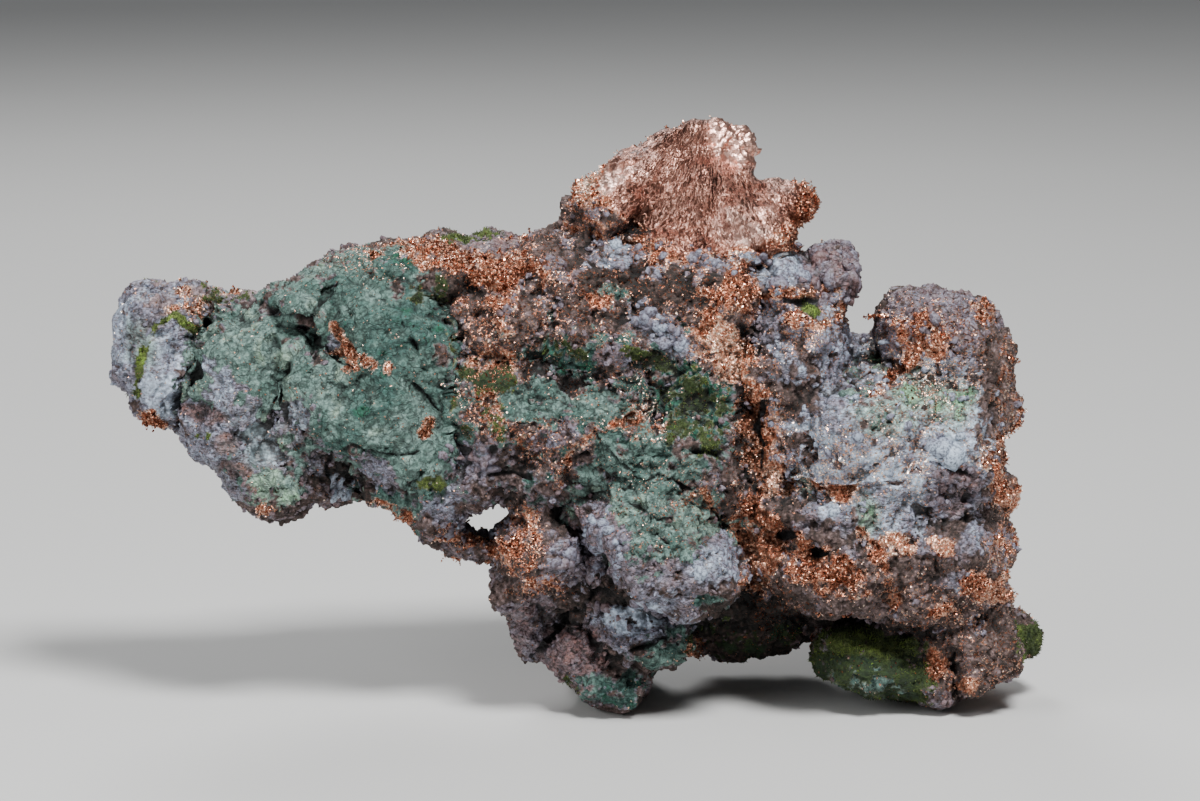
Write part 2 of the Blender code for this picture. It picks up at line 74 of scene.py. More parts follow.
# The patches of mineral, laid over each other in turn. Each is its mineral, its share of the
# grains there, its tone from 0 to 1, its place u and v, its half width, its half height and, where
# it is turned, its turn in degrees. The tones run from brown through lilac to white in quartz, from
# mint through grey-green to dark teal in crust, from dark red to pale peach in copper, from dark to
# bright green in moss, and from black-brown to lilac-grey in matrix.
PATCHES = {
    "middle": [
        (MATRIX, 1, 0.35, 0, 30, 60, 60), (QUARTZ, 0.22, 0.32, 0, 30, 60, 60),
        (CRUST, 0.22, 0.72, 2, 30, 16, 10), (COPPER, 0.3, 0.44, 0, 38, 17, 12),
        (COPPER, 0.1, 0.4, -8, 38, 6.6, 8.4), (COPPER, 0.25, 0.55, -8.6, 38.2, 2, 3, 20),
        (COPPER, 0.45, 0.6, 2, 41.2, 2.2, 1.6), (MOSS, 0.3, 0.5, -9.2, 30.6, 3.4, 4.6),
        (COPPER, 0.4, 0.4, -9.2, 30.6, 3.2, 4.2), (COPPER, 0.4, 0.62, -9, 34.4, 3, 1.8),
        (MOSS, 0.4, 0.3, -9, 33, 3.6, 0.8, -12), (CRUST, 0.7, 0.95, -0.9, 34.6, 3.8, 1.9, -12),
        (CRUST, 0.6, 0.85, 4.3, 41.8, 2.3, 1.2), (CRUST, 0.7, 0.96, 11.3, 30.6, 4.8, 3.8, -35),
        (MOSS, 0.32, 0.3, 11.6, 29.8, 4.4, 3.6, -35), (MOSS, 0.35, 0.42, 13.6, 27.4, 1.5, 2.6, 20),
        (MOSS, 0.55, 0.4, -1.9, 36.4, 2.6, 0.9, -15), (MOSS, 0.7, 0.55, 5.2, 35.3, 1.8, 0.8),
        (MOSS, 0.55, 0.3, 8.6, 33.4, 2.8, 1.2, -30), (QUARTZ, 0.9, 0.56, 7.6, 38.4, 4.4, 1.6, -38),
        (QUARTZ, 0.8, 0.42, 3.4, 34.8, 1.8, 1.4), (CRUST, 0.95, 0.54, -4.2, 30.6, 2.8, 2.4),
        (CRUST, 0.85, 0.54, 2.2, 30, 2.9, 1.7, -12), (CRUST, 0.75, 0.62, 4.6, 25.8, 3.2, 3.2),
        (CRUST, 0.75, 0.58, 3, 22.8, 3.4, 2), (CRUST, 0.9, 0.5, 9.4, 24.4, 3.6, 1.4, -15),
        (MATRIX, 0.8, 0.3, 10.6, 26.2, 1.4, 0.9), (COPPER, 0.5, 0.5, -3.6, 26.6, 3.2, 2.2),
        (COPPER, 0.45, 0.55, 6.4, 28.6, 2.4, 2), (QUARTZ, 0.85, 0.46, -10.8, 24.8, 3.5, 2.3),
        (QUARTZ, 0.7, 0.4, -2, 27.2, 2.4, 1.4, 20),
    ],
    "band under the crest": [
        (MATRIX, 0.9, 0.17, 8.6, 44, 9.6, 4.2, -4), (QUARTZ, 0.34, 0.48, 7, 45.6, 8.8, 2.4, -6),
        (COPPER, 0.28, 0.38, 8.6, 42.6, 9.6, 4.2, -6), (QUARTZ, 0.95, 0.92, 4.1, 46.2, 1.3, 0.8),
        (QUARTZ, 0.85, 0.7, 3.6, 44.8, 2.5, 0.9), (QUARTZ, 0.7, 0.6, 14.6, 45, 4, 1.4, -8),
    ],
    "top ridge": [
        (COPPER, 0.74, 0.42, -17.6, 44.8, 7.4, 2.3, 8), (COPPER, 0.62, 0.44, -8.9, 44.4, 5.2, 2.1, 4),
        (MATRIX, 0.85, 0.34, -14.6, 42.3, 3.2, 1.5, -8), (COPPER, 0.22, 0.45, -6, 41.8, 5.6, 1.8, 12),
        (QUARTZ, 0.9, 0.24, -9, 46.6, 2.6, 1.3), (MOSS, 0.9, 0.6, -10.2, 47.5, 3, 0.9, 8),
    ],
    "quartz knob": [
        (QUARTZ, 1, 0.58, -41.6, 35.8, 6.4, 9, 10), (MATRIX, 0.6, 0.72, -40.4, 40.9, 4.8, 2.2, 8),
        (QUARTZ, 0.95, 0.88, -41.6, 33.2, 2.8, 4.6, -10), (QUARTZ, 0.9, 0.82, -46, 37.6, 1.3, 3.8, -8),
        (MATRIX, 0.7, 0.6, -38.6, 33.4, 1.2, 4.6, -14), (MOSS, 0.9, 0.5, -36.7, 42.4, 1.4, 0.8, -20),
        (COPPER, 0.75, 0.45, -37.1, 39.6, 2, 2.4), (COPPER, 0.7, 0.35, -37.6, 35.6, 1, 2.8, -12),
        (COPPER, 0.75, 0.3, -42.8, 28.5, 2, 0.9, -30), (COPPER, 0.8, 0.6, -39.5, 41.8, 0.8, 0.6),
        (COPPER, 0.7, 0.6, -40.7, 40, 0.7, 0.6),
    ],
    "arm lobe": [
        (CRUST, 1, 0.43, -32.6, 31.2, 6.6, 10, 6), (QUARTZ, 0.85, 0.54, -33.6, 25, 7.4, 3.2, 41),
        (QUARTZ, 0.95, 0.6, -36.2, 27.4, 3.6, 5, -32), (QUARTZ, 0.95, 0.88, -31, 25.8, 1.4, 3.2, 38),
        (QUARTZ, 0.75, 0.8, -36, 32.4, 1.4, 2.6, 12), (QUARTZ, 0.7, 0.75, -27.6, 29.4, 1.6, 1.6),
        (QUARTZ, 0.85, 0.18, -37.4, 29.4, 1.8, 0.9, -20), (QUARTZ, 0.8, 0.2, -35.3, 26.6, 1.3, 1.1, -30),
        (QUARTZ, 0.8, 0.15, -33.8, 23.4, 1.9, 0.8, -35), (MOSS, 0.75, 0.85, -37.5, 27.2, 0.8, 0.5),
        (CRUST, 0.8, 0.3, -30.4, 22.6, 2.2, 1.6, -30), (QUARTZ, 0.9, 0.5, -25.6, 24, 1.8, 2.4),
        (COPPER, 0.8, 0.6, -31.4, 20, 0.8, 0.5), (MATRIX, 0.6, 0.75, -33.9, 41.8, 3.2, 1.2, -8),
        (COPPER, 0.7, 0.6, -34.8, 42.2, 1.4, 0.8),
    ],
    "arm plates": [
        (CRUST, 1, 0.7, -19.6, 32.2, 7.4, 13, 14), (CRUST, 0.95, 0.52, -27.4, 41, 4.4, 2, -4),
        (CRUST, 0.8, 0.3, -26.2, 43.7, 2.9, 0.8, 5), (CRUST, 0.85, 0.76, -17.6, 36.8, 4.6, 4.6),
        (CRUST, 0.9, 0.5, -17.6, 25.6, 4.4, 3.4, -25), (CRUST, 0.9, 0.46, -24.6, 33, 2, 3.6),
        (CRUST, 0.9, 0.98, -21.8, 29.6, 1.1, 0.7), (MOSS, 0.45, 0.55, -13.1, 36.6, 0.8, 4.4),
        (MOSS, 0.45, 0.5, -12.9, 30.8, 0.8, 2.2), (MOSS, 0.4, 0.35, -15, 41.6, 2, 1.2),
        (CRUST, 0.7, 0.74, -18.4, 44.4, 2.2, 1.4, 20), (COPPER, 0.85, 0.45, -23.9, 35.8, 1.1, 0.7, 25),
        (COPPER, 0.8, 0.45, -22.8, 34, 0.7, 0.7), (COPPER, 0.75, 0.45, -19.1, 34, 0.5, 0.8),
        (COPPER, 0.85, 0.5, -15.4, 28.3, 0.5, 1.2, -15), (QUARTZ, 0.85, 0.7, -24.4, 36.6, 0.7, 1.1, -25),
        (MATRIX, 0.8, 0.12, -22.9, 22.6, 3, 2), (QUARTZ, 0.95, 0.55, -20, 23.4, 1.2, 2.8, 42),
        (QUARTZ, 0.95, 0.88, -24.1, 21.8, 0.8, 1.4, 8), (COPPER, 0.65, 0.28, -19.2, 19.6, 2.6, 0.9, -18),
        (QUARTZ, 0.8, 0.62, -13.9, 20.6, 2, 2.2), (MOSS, 0.45, 0.6, -15, 22.4, 1.8, 0.8),
    ],
    "copper seam": [
        (COPPER, 0.94, 0.46, 18.2, 27.6, 2.6, 6.6), (COPPER, 0.88, 0.48, 17.4, 16.4, 2.8, 5.8),
        (COPPER, 0.92, 0.82, 14.2, 36.4, 2.3, 4.4, 24), (COPPER, 0.88, 0.85, 20.6, 23.6, 2.4, 2.9, -20),
        (COPPER, 0.7, 0.5, 15.8, 41.4, 2.4, 3), (COPPER, 0.75, 0.55, 17.2, 35, 1.4, 2.6),
    ],
    "copper crest": [
        # The high tones at the crest's smooth top, its left end, its right ledge and its lower right edge
        # are partly its copper colour and partly painted highlight, where the smooth metal catches the
        # light.
        (COPPER, 1, 0.52, 12.3, 52.6, 10.6, 7.6), (COPPER, 0.95, 0.5, 2.6, 51.4, 4.8, 4.2, 24),
        (COPPER, 1, 0.55, 21, 50, 4, 3.4), (COPPER, 1, 0.68, 15.4, 56.2, 3.6, 2.8, -30),
        (COPPER, 1, 0.88, 2.8, 53.2, 3.6, 1.6, 28), (COPPER, 1, 0.92, 19.4, 53.1, 2.6, 0.8, -12),
        (COPPER, 1, 0.8, 16.8, 47.6, 5.2, 1.3, -22), (COPPER, 1, 0.22, 22.4, 50.4, 2, 1.8),
        (COPPER, 1, 0.4, 12.8, 51.4, 0.9, 4.6), (COPPER, 1, 0.35, 6.8, 56.2, 4.4, 1.3, 26),
        (COPPER, 0.7, 0.4, 20, 45.6, 2.4, 1.1), (QUARTZ, 0.35, 0.36, 1, 50.2, 2.2, 1.4),
        (MATRIX, 0.5, 0.2, 2.6, 48.6, 4.2, 1.3, -10),
    ],
    "knob and column": [
        (QUARTZ, 0.95, 0.3, 25.4, 43.8, 3.8, 3.4), (QUARTZ, 0.9, 0.84, 20.2, 43.6, 2.6, 1.9),
        (QUARTZ, 0.75, 0.62, 22.6, 38, 4.8, 4.4), (COPPER, 0.35, 0.55, 23.4, 38.4, 3.6, 3.4),
        (COPPER, 0.85, 0.55, 22.1, 41.6, 3.4, 0.6, 4), (COPPER, 0.75, 0.75, 22.6, 38.6, 2.2, 0.8, -10),
        (COPPER, 0.65, 0.7, 26.3, 39.4, 1.1, 1.1), (MOSS, 1, 0.88, 23.3, 40, 0.9, 0.9),
    ],
    "square block": [
        (QUARTZ, 0.9, 0.8, 31.4, 27.6, 11.6, 9.6), (QUARTZ, 0.85, 0.34, 36.2, 39.2, 6.6, 3.6, -6),
        (COPPER, 0.26, 0.5, 36, 36, 7, 6), (COPPER, 0.22, 0.35, 30, 27, 10, 8),
        (CRUST, 0.4, 0.02, 30, 34.2, 0.9, 1.4, 30), (CRUST, 0.3, 0.04, 35.4, 31.2, 3.6, 2.5, -14),
        (CRUST, 0.3, 0.45, 27.6, 30.6, 3.4, 2.4, -20), (QUARTZ, 0.9, 0.66, 24.6, 30.6, 2.2, 3.6),
        (MATRIX, 0.45, 0.34, 22.4, 30, 1.8, 6), (COPPER, 0.8, 0.62, 35.6, 36.7, 1.9, 1.6, -20),
        (COPPER, 0.6, 0.55, 32.2, 37.4, 0.6, 1.6, 10), (COPPER, 0.6, 0.55, 40.4, 39.4, 1.2, 2, 30),
        (MATRIX, 0.75, 0.4, 42.6, 31.4, 2.2, 7.6, -4), (COPPER, 0.5, 0.36, 43.2, 31, 1.6, 6.8, -4),
        (COPPER, 0.6, 0.4, 41.8, 25.4, 2.2, 1.8), (QUARTZ, 0.95, 0.92, 37.2, 25.4, 2.4, 1.3, -30),
        (QUARTZ, 0.8, 0.34, 37.4, 21.8, 3, 2.4), (COPPER, 0.65, 0.45, 26, 21.8, 2.4, 1.4, -25),
        (QUARTZ, 0.9, 0.9, 25.1, 19.6, 1.1, 1), (QUARTZ, 0.7, 0.72, 30.6, 19.4, 3.8, 3.6),
        (CRUST, 0.45, 0.1, 28.4, 19.2, 0.9, 2), (COPPER, 0.85, 0.78, 31.6, 16, 2.1, 1.2),
        (COPPER, 0.8, 0.72, 36.6, 16.4, 1.5, 1.2, -20), (MATRIX, 0.75, 0.4, 31, 11.2, 10, 3.8),
        (COPPER, 0.75, 0.26, 25.8, 13.4, 4.6, 2.2, -24), (COPPER, 0.65, 0.38, 22, 15.2, 2.8, 2.2, -20),
        (COPPER, 0.3, 0.5, 37.4, 9.6, 7.2, 4.4), (QUARTZ, 0.85, 0.62, 39.4, 16.8, 2, 1.7, 30),
        (QUARTZ, 0.8, 0.52, 37.4, 12.6, 1.8, 1.4), (QUARTZ, 0.8, 0.56, 39.8, 8.4, 0.9, 1.1),
        (COPPER, 0.9, 0.46, 40.4, 12, 2.4, 1.6, -12), (COPPER, 0.88, 0.42, 36.7, 9.5, 2.1, 0.9, -14),
        (QUARTZ, 0.6, 0.42, 43, 16.4, 1.8, 1.8), (COPPER, 0.7, 0.45, 42.7, 21.6, 1.7, 2.2),
        (COPPER, 0.6, 0.55, 43.2, 16.6, 2, 5.4),
    ],
    "right foot": [
        (MATRIX, 0.8, 0.34, 40.2, 5.6, 5.8, 4.8), (COPPER, 0.34, 0.5, 39.6, 5.4, 5.6, 4.4),
        (MOSS, 0.97, 0.14, 28.4, 3.9, 6.4, 3.9, -6), (MOSS, 0.9, 0.62, 29.4, 6.4, 5, 1.3, -6),
        (CRUST, 0.45, 0.62, 28.6, 2.6, 3.6, 1.6, -10), (MOSS, 1, 0.48, 45.8, 6.9, 1.8, 3),
        (COPPER, 0.9, 0.42, 35.9, 4.4, 1.3, 1.5), (COPPER, 0.8, 0.45, 38.6, 2.2, 1.5, 0.6, 8),
    ],
    "boulders": [
        (CRUST, 0.9, 0.4, 7.4, 18.4, 8.2, 4.8, -12), (COPPER, 0.14, 0.5, 8.4, 19.4, 8, 5),
        (QUARTZ, 0.8, 0.42, 2.6, 16.4, 2.6, 4.4, 16), (QUARTZ, 0.85, 0.44, 8, 12.6, 5.4, 2.2, -10),
        (QUARTZ, 0.95, 0.68, 13.8, 14.2, 2.8, 2.6), (CRUST, 0.8, 0.8, 13.6, 10.3, 2, 1),
        (COPPER, 0.62, 0.55, -5.9, 16.6, 2.8, 3.8), (QUARTZ, 0.85, 0.4, -0.6, 13.8, 3, 3.4),
        (QUARTZ, 0.65, 0.48, -11, 17.8, 4, 1.4, -8), (COPPER, 0.6, 0.45, -10, 16.6, 4.8, 1.1, -12),
        (COPPER, 0.7, 0.4, -3.4, 11.6, 3.4, 1.2),
    ],
    "left foot": [
        (MATRIX, 0.9, 0.2, 2, 8.6, 8, 3.6), (QUARTZ, 0.9, 0.28, -4.6, 8.2, 2.6, 3.4),
        (QUARTZ, 0.92, 0.6, 6.4, 8.6, 5.8, 2.6, 6), (QUARTZ, 0.9, 0.9, 5.6, 9.2, 3.4, 1.3),
        # The dark tone of the crust low on this foot is partly its colour and partly painted shade, where
        # the foot's bottom lies in shade.
        (QUARTZ, 0.85, 0.2, -0.4, 5.4, 3.2, 3), (CRUST, 0.85, 0.74, 9.2, 5.8, 3.2, 2.2),
        (COPPER, 0.85, 0.45, 11.8, 6, 0.9, 1), (CRUST, 0.6, 0.74, 3.2, 1.8, 5.2, 2),
        (MOSS, 0.5, 0.55, -1.4, 1.9, 1.4, 1.2),
    ],
    "band between the feet": [
        (MATRIX, 0.9, 0.08, 17.4, 7.8, 5.6, 3.6), (MOSS, 0.35, 0.12, 17, 6.8, 5, 2.4),
        (COPPER, 0.35, 0.22, 20, 9, 3, 2),
    ],
}

# The veins of mineral: a mineral, its share, its tone, its half width and the places on its line.
VEINS = [
    (MOSS, 0.75, 0.78, 0.45, (-44.4, 31.2), (-43.8, 35.6), (-42.4, 38.2), (-40.4, 39.4), (-38.6, 37.8)),
    (MOSS, 0.6, 0.45, 0.5, (-37, 41), (-34.6, 40.6), (-33, 41.2)),
    (COPPER, 0.8, 0.5, 0.5, (-24.4, 38.2), (-23, 35.4), (-20.6, 34.2)),
    (COPPER, 0.8, 0.4, 0.8, (16, 44), (13.6, 40.6), (12.6, 37.8)),
    (COPPER, 0.7, 0.3, 0.7, (28, 17.8), (30.4, 14), (31.6, 10.6)),
    (COPPER, 0.6, 0.45, 0.6, (34.4, 39.6), (33.4, 35), (29.4, 31.2)),
    (COPPER, 0.55, 0.4, 0.6, (-2, 22), (-1, 25.4), (1.6, 27.6), (5.4, 29)),
    (COPPER, 0.55, 0.5, 0.5, (9.6, 20.2), (12.4, 21.8), (13.8, 19)),
]

# The nubs of quartz that stand on the skin in clusters: how many, their middle radius, their tone,
# and the cluster's place, half width, half height and turn.
NUBS = {
    "knob beside the crest": (110, 0.5, 0.36, 25.6, 43.8, 3.8, 3.2),
    "beside the knob": (16, 0.5, 0.62, 20.4, 43.4, 2.4, 1.6),
    "slanting cluster": (26, 0.52, 0.62, 7.6, 38.4, 3.8, 1.2, -38),
    "under the crest": (6, 0.55, 0.85, 4.1, 46.2, 1.2, 0.7),
    "band under the crest": (30, 0.42, 0.5, 8.6, 44.8, 8, 2, -6),
    "lilac cluster": (34, 0.5, 0.42, -10.8, 24.8, 3.2, 2),
    "left of the big boulder": (34, 0.55, 0.62, 2.4, 16.6, 2, 3.8, 16),
    "lower boulder": (22, 0.55, 0.45, -0.4, 13.8, 2.4, 2.4),
    "right of the big boulder": (10, 0.6, 0.72, 13.8, 14.2, 2.4, 2.2),
    "arch": (12, 0.55, 0.55, -11.4, 18.2, 3.8, 1, -8),
    "recess in the arm": (3, 0.7, 0.85, -24.1, 22.2, 0.7, 1.2, 8),
    "white nub of the block": (1, 1, 0.85, 25.1, 19.6, 0.2, 0.2),
    "wedge of the block": (3, 1.1, 0.86, 37, 25.4, 1.2, 0.8, -30),
    "face of the block": (60, 0.42, 0.72, 30.6, 29.4, 8.6, 7.6),
    "top of the block": (60, 0.42, 0.36, 36.2, 39.4, 6.2, 2.6, -6),
    "right of the block": (24, 0.5, 0.34, 37.4, 22.4, 3, 2.6),
    "upper foot": (12, 0.6, 0.4, 5, 9.6, 4.4, 1.6, 6),
}

# The copper sprig beside the notch: the place it grows from, its way in mm, its grains, and their
# radius at its root and how much of it they lose by its tip.
SPRIG_ROOT = (30.7, 39.3)
SPRIG_WAY = np.array((-2.3, -0.3, -0.1))
SPRIG_GRAINS = 26
SPRIG_RADIUS = 0.20
SPRIG_LOSS = 0.10

# The soft green stains on quartz: a strength, and a place, half width, half height and turn.
STAINS = [
    (1, 35.2, 31, 4.4, 2.6, -14), (0.7, 31, 29.4, 3.6, 2.6), (1, 30, 34.2, 1.1, 1.7, 30),
    (0.9, 22.8, 22.4, 1.1, 1.8), (0.9, 28.6, 19.2, 1.4, 2.4), (0.3, -31, 26.8, 5, 5),
    (0.6, -43.8, 37, 1.6, 3),
]

# The cracks and pits: a half width, a depth and the places on a line.
CRACKS = [
    (0.8, 2, (-37, 38.6), (-37.2, 35.5), (-38.4, 32.1), (-39.5, 29.9), (-40.1, 27.8)),
    (0.6, 1.7, (-31.6, 40.4), (-29.4, 39), (-27, 38.4), (-26.4, 36.4), (-24.6, 35), (-22.8, 34.4)),
    (0.35, 1, (-26.6, 38.6), (-25.6, 41)),
    (0.25, 0.6, (-33.4, 39), (-34.4, 37.6), (-35.4, 36.4)),
    (0.45, 1.3, (-28.9, 34.4), (-29.4, 32.2), (-29.9, 30.6)),
    (0.35, 0.9, (-16.4, 32.4), (-15, 30.8), (-13.6, 29.2)),
    (0.3, 0.8, (-26.3, 28.2), (-25.6, 27)),
    (0.3, 0.7, (-24.4, 26.4), (-21.4, 25.4), (-18.4, 25), (-15.6, 25.6)),
    (0.35, 0.9, (-24.6, 26), (-24.9, 24), (-25, 22)),
    (0.3, 0.7, (-17.4, 21.6), (-16, 23.6)),
    (0.45, 0.9, (-17.6, 38.4), (-17.2, 37.8)),
    (0.55, 1, (-16.8, 36.4), (-16, 36)),
    (0.6, 1.8, (-0.4, 19.6), (0.4, 17.4), (2.2, 16.2), (3.2, 14), (4.2, 12)),
    (0.4, 1, (1.2, 16.8), (-1.4, 15.4)),
    (0.5, 1.2, (-8.6, 25.6), (-8.2, 25)),
    (0.55, 1.4, (-0.2, 25.4), (0.8, 25.2)),
    (0.7, 1.5, (11.2, 25.6), (14.4, 25.2)),
    (0.6, 1.2, (14.6, 22.6), (14.8, 21)),
    (0.3, 0.8, (1.6, 27.4), (4, 24.2), (6.6, 22.8), (9.4, 23), (12, 21.6)),
    (0.3, 0.7, (-6.4, 29), (-3.6, 27.8), (-1.8, 28.6)),
    (0.3, 0.7, (6.6, 27.2), (6.4, 24.6), (4.8, 22.2)),
    (0.25, 0.6, (4.6, 20.6), (7.6, 19.2), (10.4, 19.4)),
    (0.25, 0.6, (6.4, 21.4), (6.8, 18.6), (8.8, 16.2)),
    (0.9, 1.7, (20.4, 17.4), (21.6, 17.2)),
    (0.8, 1.5, (23.4, 15.8), (24.6, 15.4)),
    (0.6, 1.4, (18.4, 31), (18, 27.4), (18.2, 23.8)),
    (0.4, 1.4, (37.9, 5.4), (37.6, 3), (37.9, 1.2)),
    (0.6, 1, (20.6, 40.6), (24, 40.8)),
    (0.7, 1.4, (3, 12.1), (-0.9, 9), (-3.1, 7.2), (-4.7, 5)),
    (0.6, 1.2, (0.8, 9), (1.5, 6.8), (3.9, 5), (8.8, 7.2)),
    (0.5, 1, (35, 24.6), (37.4, 23.4), (39.2, 23.4)),
    (0.9, 1.2, (-8.6, 23.2), (-6.8, 23.6), (-4.8, 22.6)),
]

# Where the skin is fuller than the solid: a half width, a height and the places on a line.
SWELLINGS = [
    (3, 0.9, (-13.2, 42.4), (-12.8, 37), (-12.9, 30), (-13.6, 26)),
    (2.4, 0.6, (17, 42), (16.6, 37), (17, 32)),
    (2.4, 0.5, (3, 48.2), (5.4, 51)),
    (1.8, 0.8, (11.6, 58.2), (13.2, 58.6)),
    (2.2, 0.9, (17, 57), (17.4, 55)),
    (2.2, 1.2, (17, 45.4), (20.5, 45)),
    (3, 0.7, (20.5, 24.2), (24.5, 23.2), (29, 23.4), (32, 22.8)),
    (1.6, 0.6, (-0.9, 20.5), (-0.2, 18), (1, 16.5)),
    (1.8, 0.8, (14.6, 19.6), (14.2, 17.8)),
    (1.8, 0.7, (-36.9, 36), (-37.6, 32.6), (-39.2, 29.4)),
    (2.4, 0.6, (-28.6, 35.6), (-27.6, 32), (-26.2, 28.6)),
]

# The crest's bare metal, whose folds fan out around a place: about how many there are in a radian,
# how long one is, and the ellipses of the whole crest, its smooth top and its smooth left end.
FAN_TOP = (13.4, 62.0)
FAN_FOLDS = 42.0
FAN_LENGTH = 1.2
CREST = ((12.0, 52.0), (10.4, 8.0))
CREST_TOP = ((15.6, 56.6), (3.0, 2.4), -30)
CREST_LEFT = ((2.8, 53.2), (3.4, 1.6), 28)

# The skin's rounds of relaxing, the size of one grain of mineral, where a patch's edge begins and
# ends in shares of its radii, how far patches wander behind, and where, from left to right, the
# crust becomes pebbly.
RELAX_ROUNDS = 30
GRAIN_SIZE = 0.42
PATCH_EDGE = (0.72, 1.28)
WANDER = 11.0
PEBBLY = (-9.0, -6.0)

# For each mineral in turn: how strongly the large and the middling lumps of the rock show in it,
# and how much of a hollow it fills.
LARGE_LUMPS = np.array((1.0, 0.8, 0.5, 1.0, 0.8))
MIDDLING_LUMPS = np.array((0.85, 0.45, 0.22, 0.6, 0.5))
FILLING = np.array((0.4, 0.7, 1.1, 0.3, 0.3))

# How wide the surroundings are in which a point is a hollow: to be filled, and to be darkened
# with painted shade. They are summed in cubes of a share of that width, under a bell curve that
# ends so many cubes out.
FILLED_REACH = 2.0
HOLLOWS = {"hollow_near": 0.45, "hollow_far": 1.3, "hollow_wide": 3.6}
CUBE_SHARE = 0.8
BELL_END = 4

# What turns places and stretches them one way, so that the crust's sheets slant and are thin.
SLANT = np.array(((0.80, -0.45, 0.30), (0.30, 0.75, 0.45), (-0.55, -0.30, 1.30)))

# The skin's parts and the cuts between them. Cuts across x at ARM_END and BLOCK_START part the
# arm, the centre and the block. The arm is cut again across x at ARM_MIDDLE, the centre at the
# heights CREST_START and BOULDERS_END, and the block at the height BLOCK_MIDDLE. The copper grains
# are parted across x at GRAINS_MIDDLE.
SKIN_PARTS = ("skin_knob", "skin_arm", "skin_crest", "skin_middle", "skin_boulders", "skin_block",
              "skin_foot")
ARM_END = -11.5
BLOCK_START = 17.0
ARM_MIDDLE = -27.5
CREST_START = 44.0
BOULDERS_END = 24.0
BLOCK_MIDDLE = 22.0
GRAINS_MIDDLE = 22.0

# The grains: each kind's random seed and its least height above the floor, the links of a copper
# tuft, and the size of a moss leaf.
COPPER_SEED, CRUMB_SEED, MOSS_SEED, NUB_SEED = 101, 102, 103, 104
COPPER_FROM, CRUMBS_FROM, MOSS_FROM, NUBS_FROM = 0.8, 1.0, 0.8, 1.5
TUFT_LINKS = 3
MOSS_SIZE = 0.11

# The finish: the size of its glinting cells and its lumps, and how high its bumps are on rock, on
# the crest's folds and on crumbs.
GLINT_SIZE = 0.15
LUMP_SIZE = 0.45
ROCK_BUMP, FOLD_BUMP, CRUMB_BUMP = 0.22, 0.20, 0.14

# The stage, in metres: half the floor, and each lamp's place from the middle and its size.
HALF_FLOOR = 3.0
LAMPS = {"key": ((0.12, -0.24, 0.42), 0.14), "fill": ((-0.38, -0.30, 0.22), 0.30),
         "rim": ((-0.10, 0.40, 0.35), 0.20)}
SKY = (0.55, 0.57, 0.60, 1.0)
SKY_STRENGTH = 0.22


# ---------------------------------------------------------------- noise


def hashed(cells, seed):
    """A whole number for each cell (rows of x, y, z) and for the seed, which picks the pattern.
    Each is multiplied by a large odd number, they are combined bit by bit, and their bits are
    mixed by two shifts and products."""
    mixed = (cells[:, 0] * 73856093) ^ (cells[:, 1] * 19349663) ^ (cells[:, 2] * 83492791)
    mixed = (mixed ^ (seed * 668265263)).astype(np.uint32)
    mixed = (mixed ^ (mixed >> np.uint32(15))) * np.uint32(2246822519)
    mixed = (mixed ^ (mixed >> np.uint32(13))) * np.uint32(3266489917)
    return mixed ^ (mixed >> np.uint32(16))


def share_of(numbers, part):
    """A number from 0 to 1 out of ten bits of each hashed number."""
    return ((numbers >> np.uint32(10 * part)) & np.uint32(1023)).astype(np.float32) / 1023.0


SLOPES = np.array([s for s in product((-1, 0, 1), repeat=3) if sum(map(abs, s)) == 2], np.float32)


def noise(points, seed):
    """Gradient noise, about -1 to 1: at each corner of its cell a point is projected on the
    corner's slope, and the eight results are blended by a curve that is flat at both ends."""
    floors = np.floor(points)
    within = (points - floors).astype(np.float32)
    cells = floors.astype(np.int64)
    blend = within ** 3 * (within * (within * 6 - 15) + 10)
    total = np.zeros(len(points), np.float32)
    for corner in product((0, 1), repeat=3):
        slopes = SLOPES[hashed(cells + corner, seed) % np.uint32(len(SLOPES))]
        weight = np.where(corner, blend, 1 - blend).prod(axis=1)
        total += weight * ((within - corner) * slopes).sum(axis=1)
    return total


def fractal(points, seed, octaves):
    """Noise with finer noise on it: each octave is half as large and half as strong."""
    return sum(noise(points * 2 ** i, seed + i) / 2 ** i for i in range(octaves))


def cells_at(points, seed):
    """Cellular noise: one jittered centre in each unit cell. For each point it gives the distance
    to the nearest centre and the next one, the way from the nearest, and that one's number."""
    home = np.floor(points).astype(np.int64)
    nearest = np.full(len(points), 9.0, np.float32)
    second = nearest.copy()
    away = np.zeros((len(points), 3), np.float32)
    number = np.zeros(len(points), np.uint32)
    for step in product((-1, 0, 1), repeat=3):
        cell = home + step
        hashes = hashed(cell, seed)
        centre = cell + np.stack([share_of(hashes, part) for part in range(3)], axis=1)
        offset = (points - centre).astype(np.float32)
        distance = np.sqrt((offset ** 2).sum(axis=1))
        closer = distance < nearest
        second = np.where(closer, nearest, np.minimum(second, distance))
        nearest = np.where(closer, distance, nearest)
        away[closer] = offset[closer]
        number = np.where(closer, hashes, number)
    return nearest, second, away, number


def ramped(values, start, end):
    """0 at start and beyond, 1 at end and beyond, with a smooth curve between them."""
    t = np.clip((values - start) / (end - start), 0.0, 1.0)
    return t * t * (3 - 2 * t)


# ---------------------------------------------------------------- the skin's shape


def points_of(mesh):
    """A mesh's points in millimetres."""
    points = np.empty(len(mesh.vertices) * 3, np.float32)
    mesh.vertices.foreach_get("co", points)
    return points.reshape(-1, 3) / MM


def normals_of(mesh):
    """The direction in which a mesh faces at each of its points."""
    normals = np.empty(len(mesh.vertices) * 3, np.float32)
    mesh.vertex_normals.foreach_get("vector", normals)
    return normals.reshape(-1, 3)


def put_points(mesh, points):
    """Moves a mesh's points to places in millimetres."""
    mesh.vertices.foreach_set("co", (points * MM).astype(np.float32).ravel())
    mesh.update()


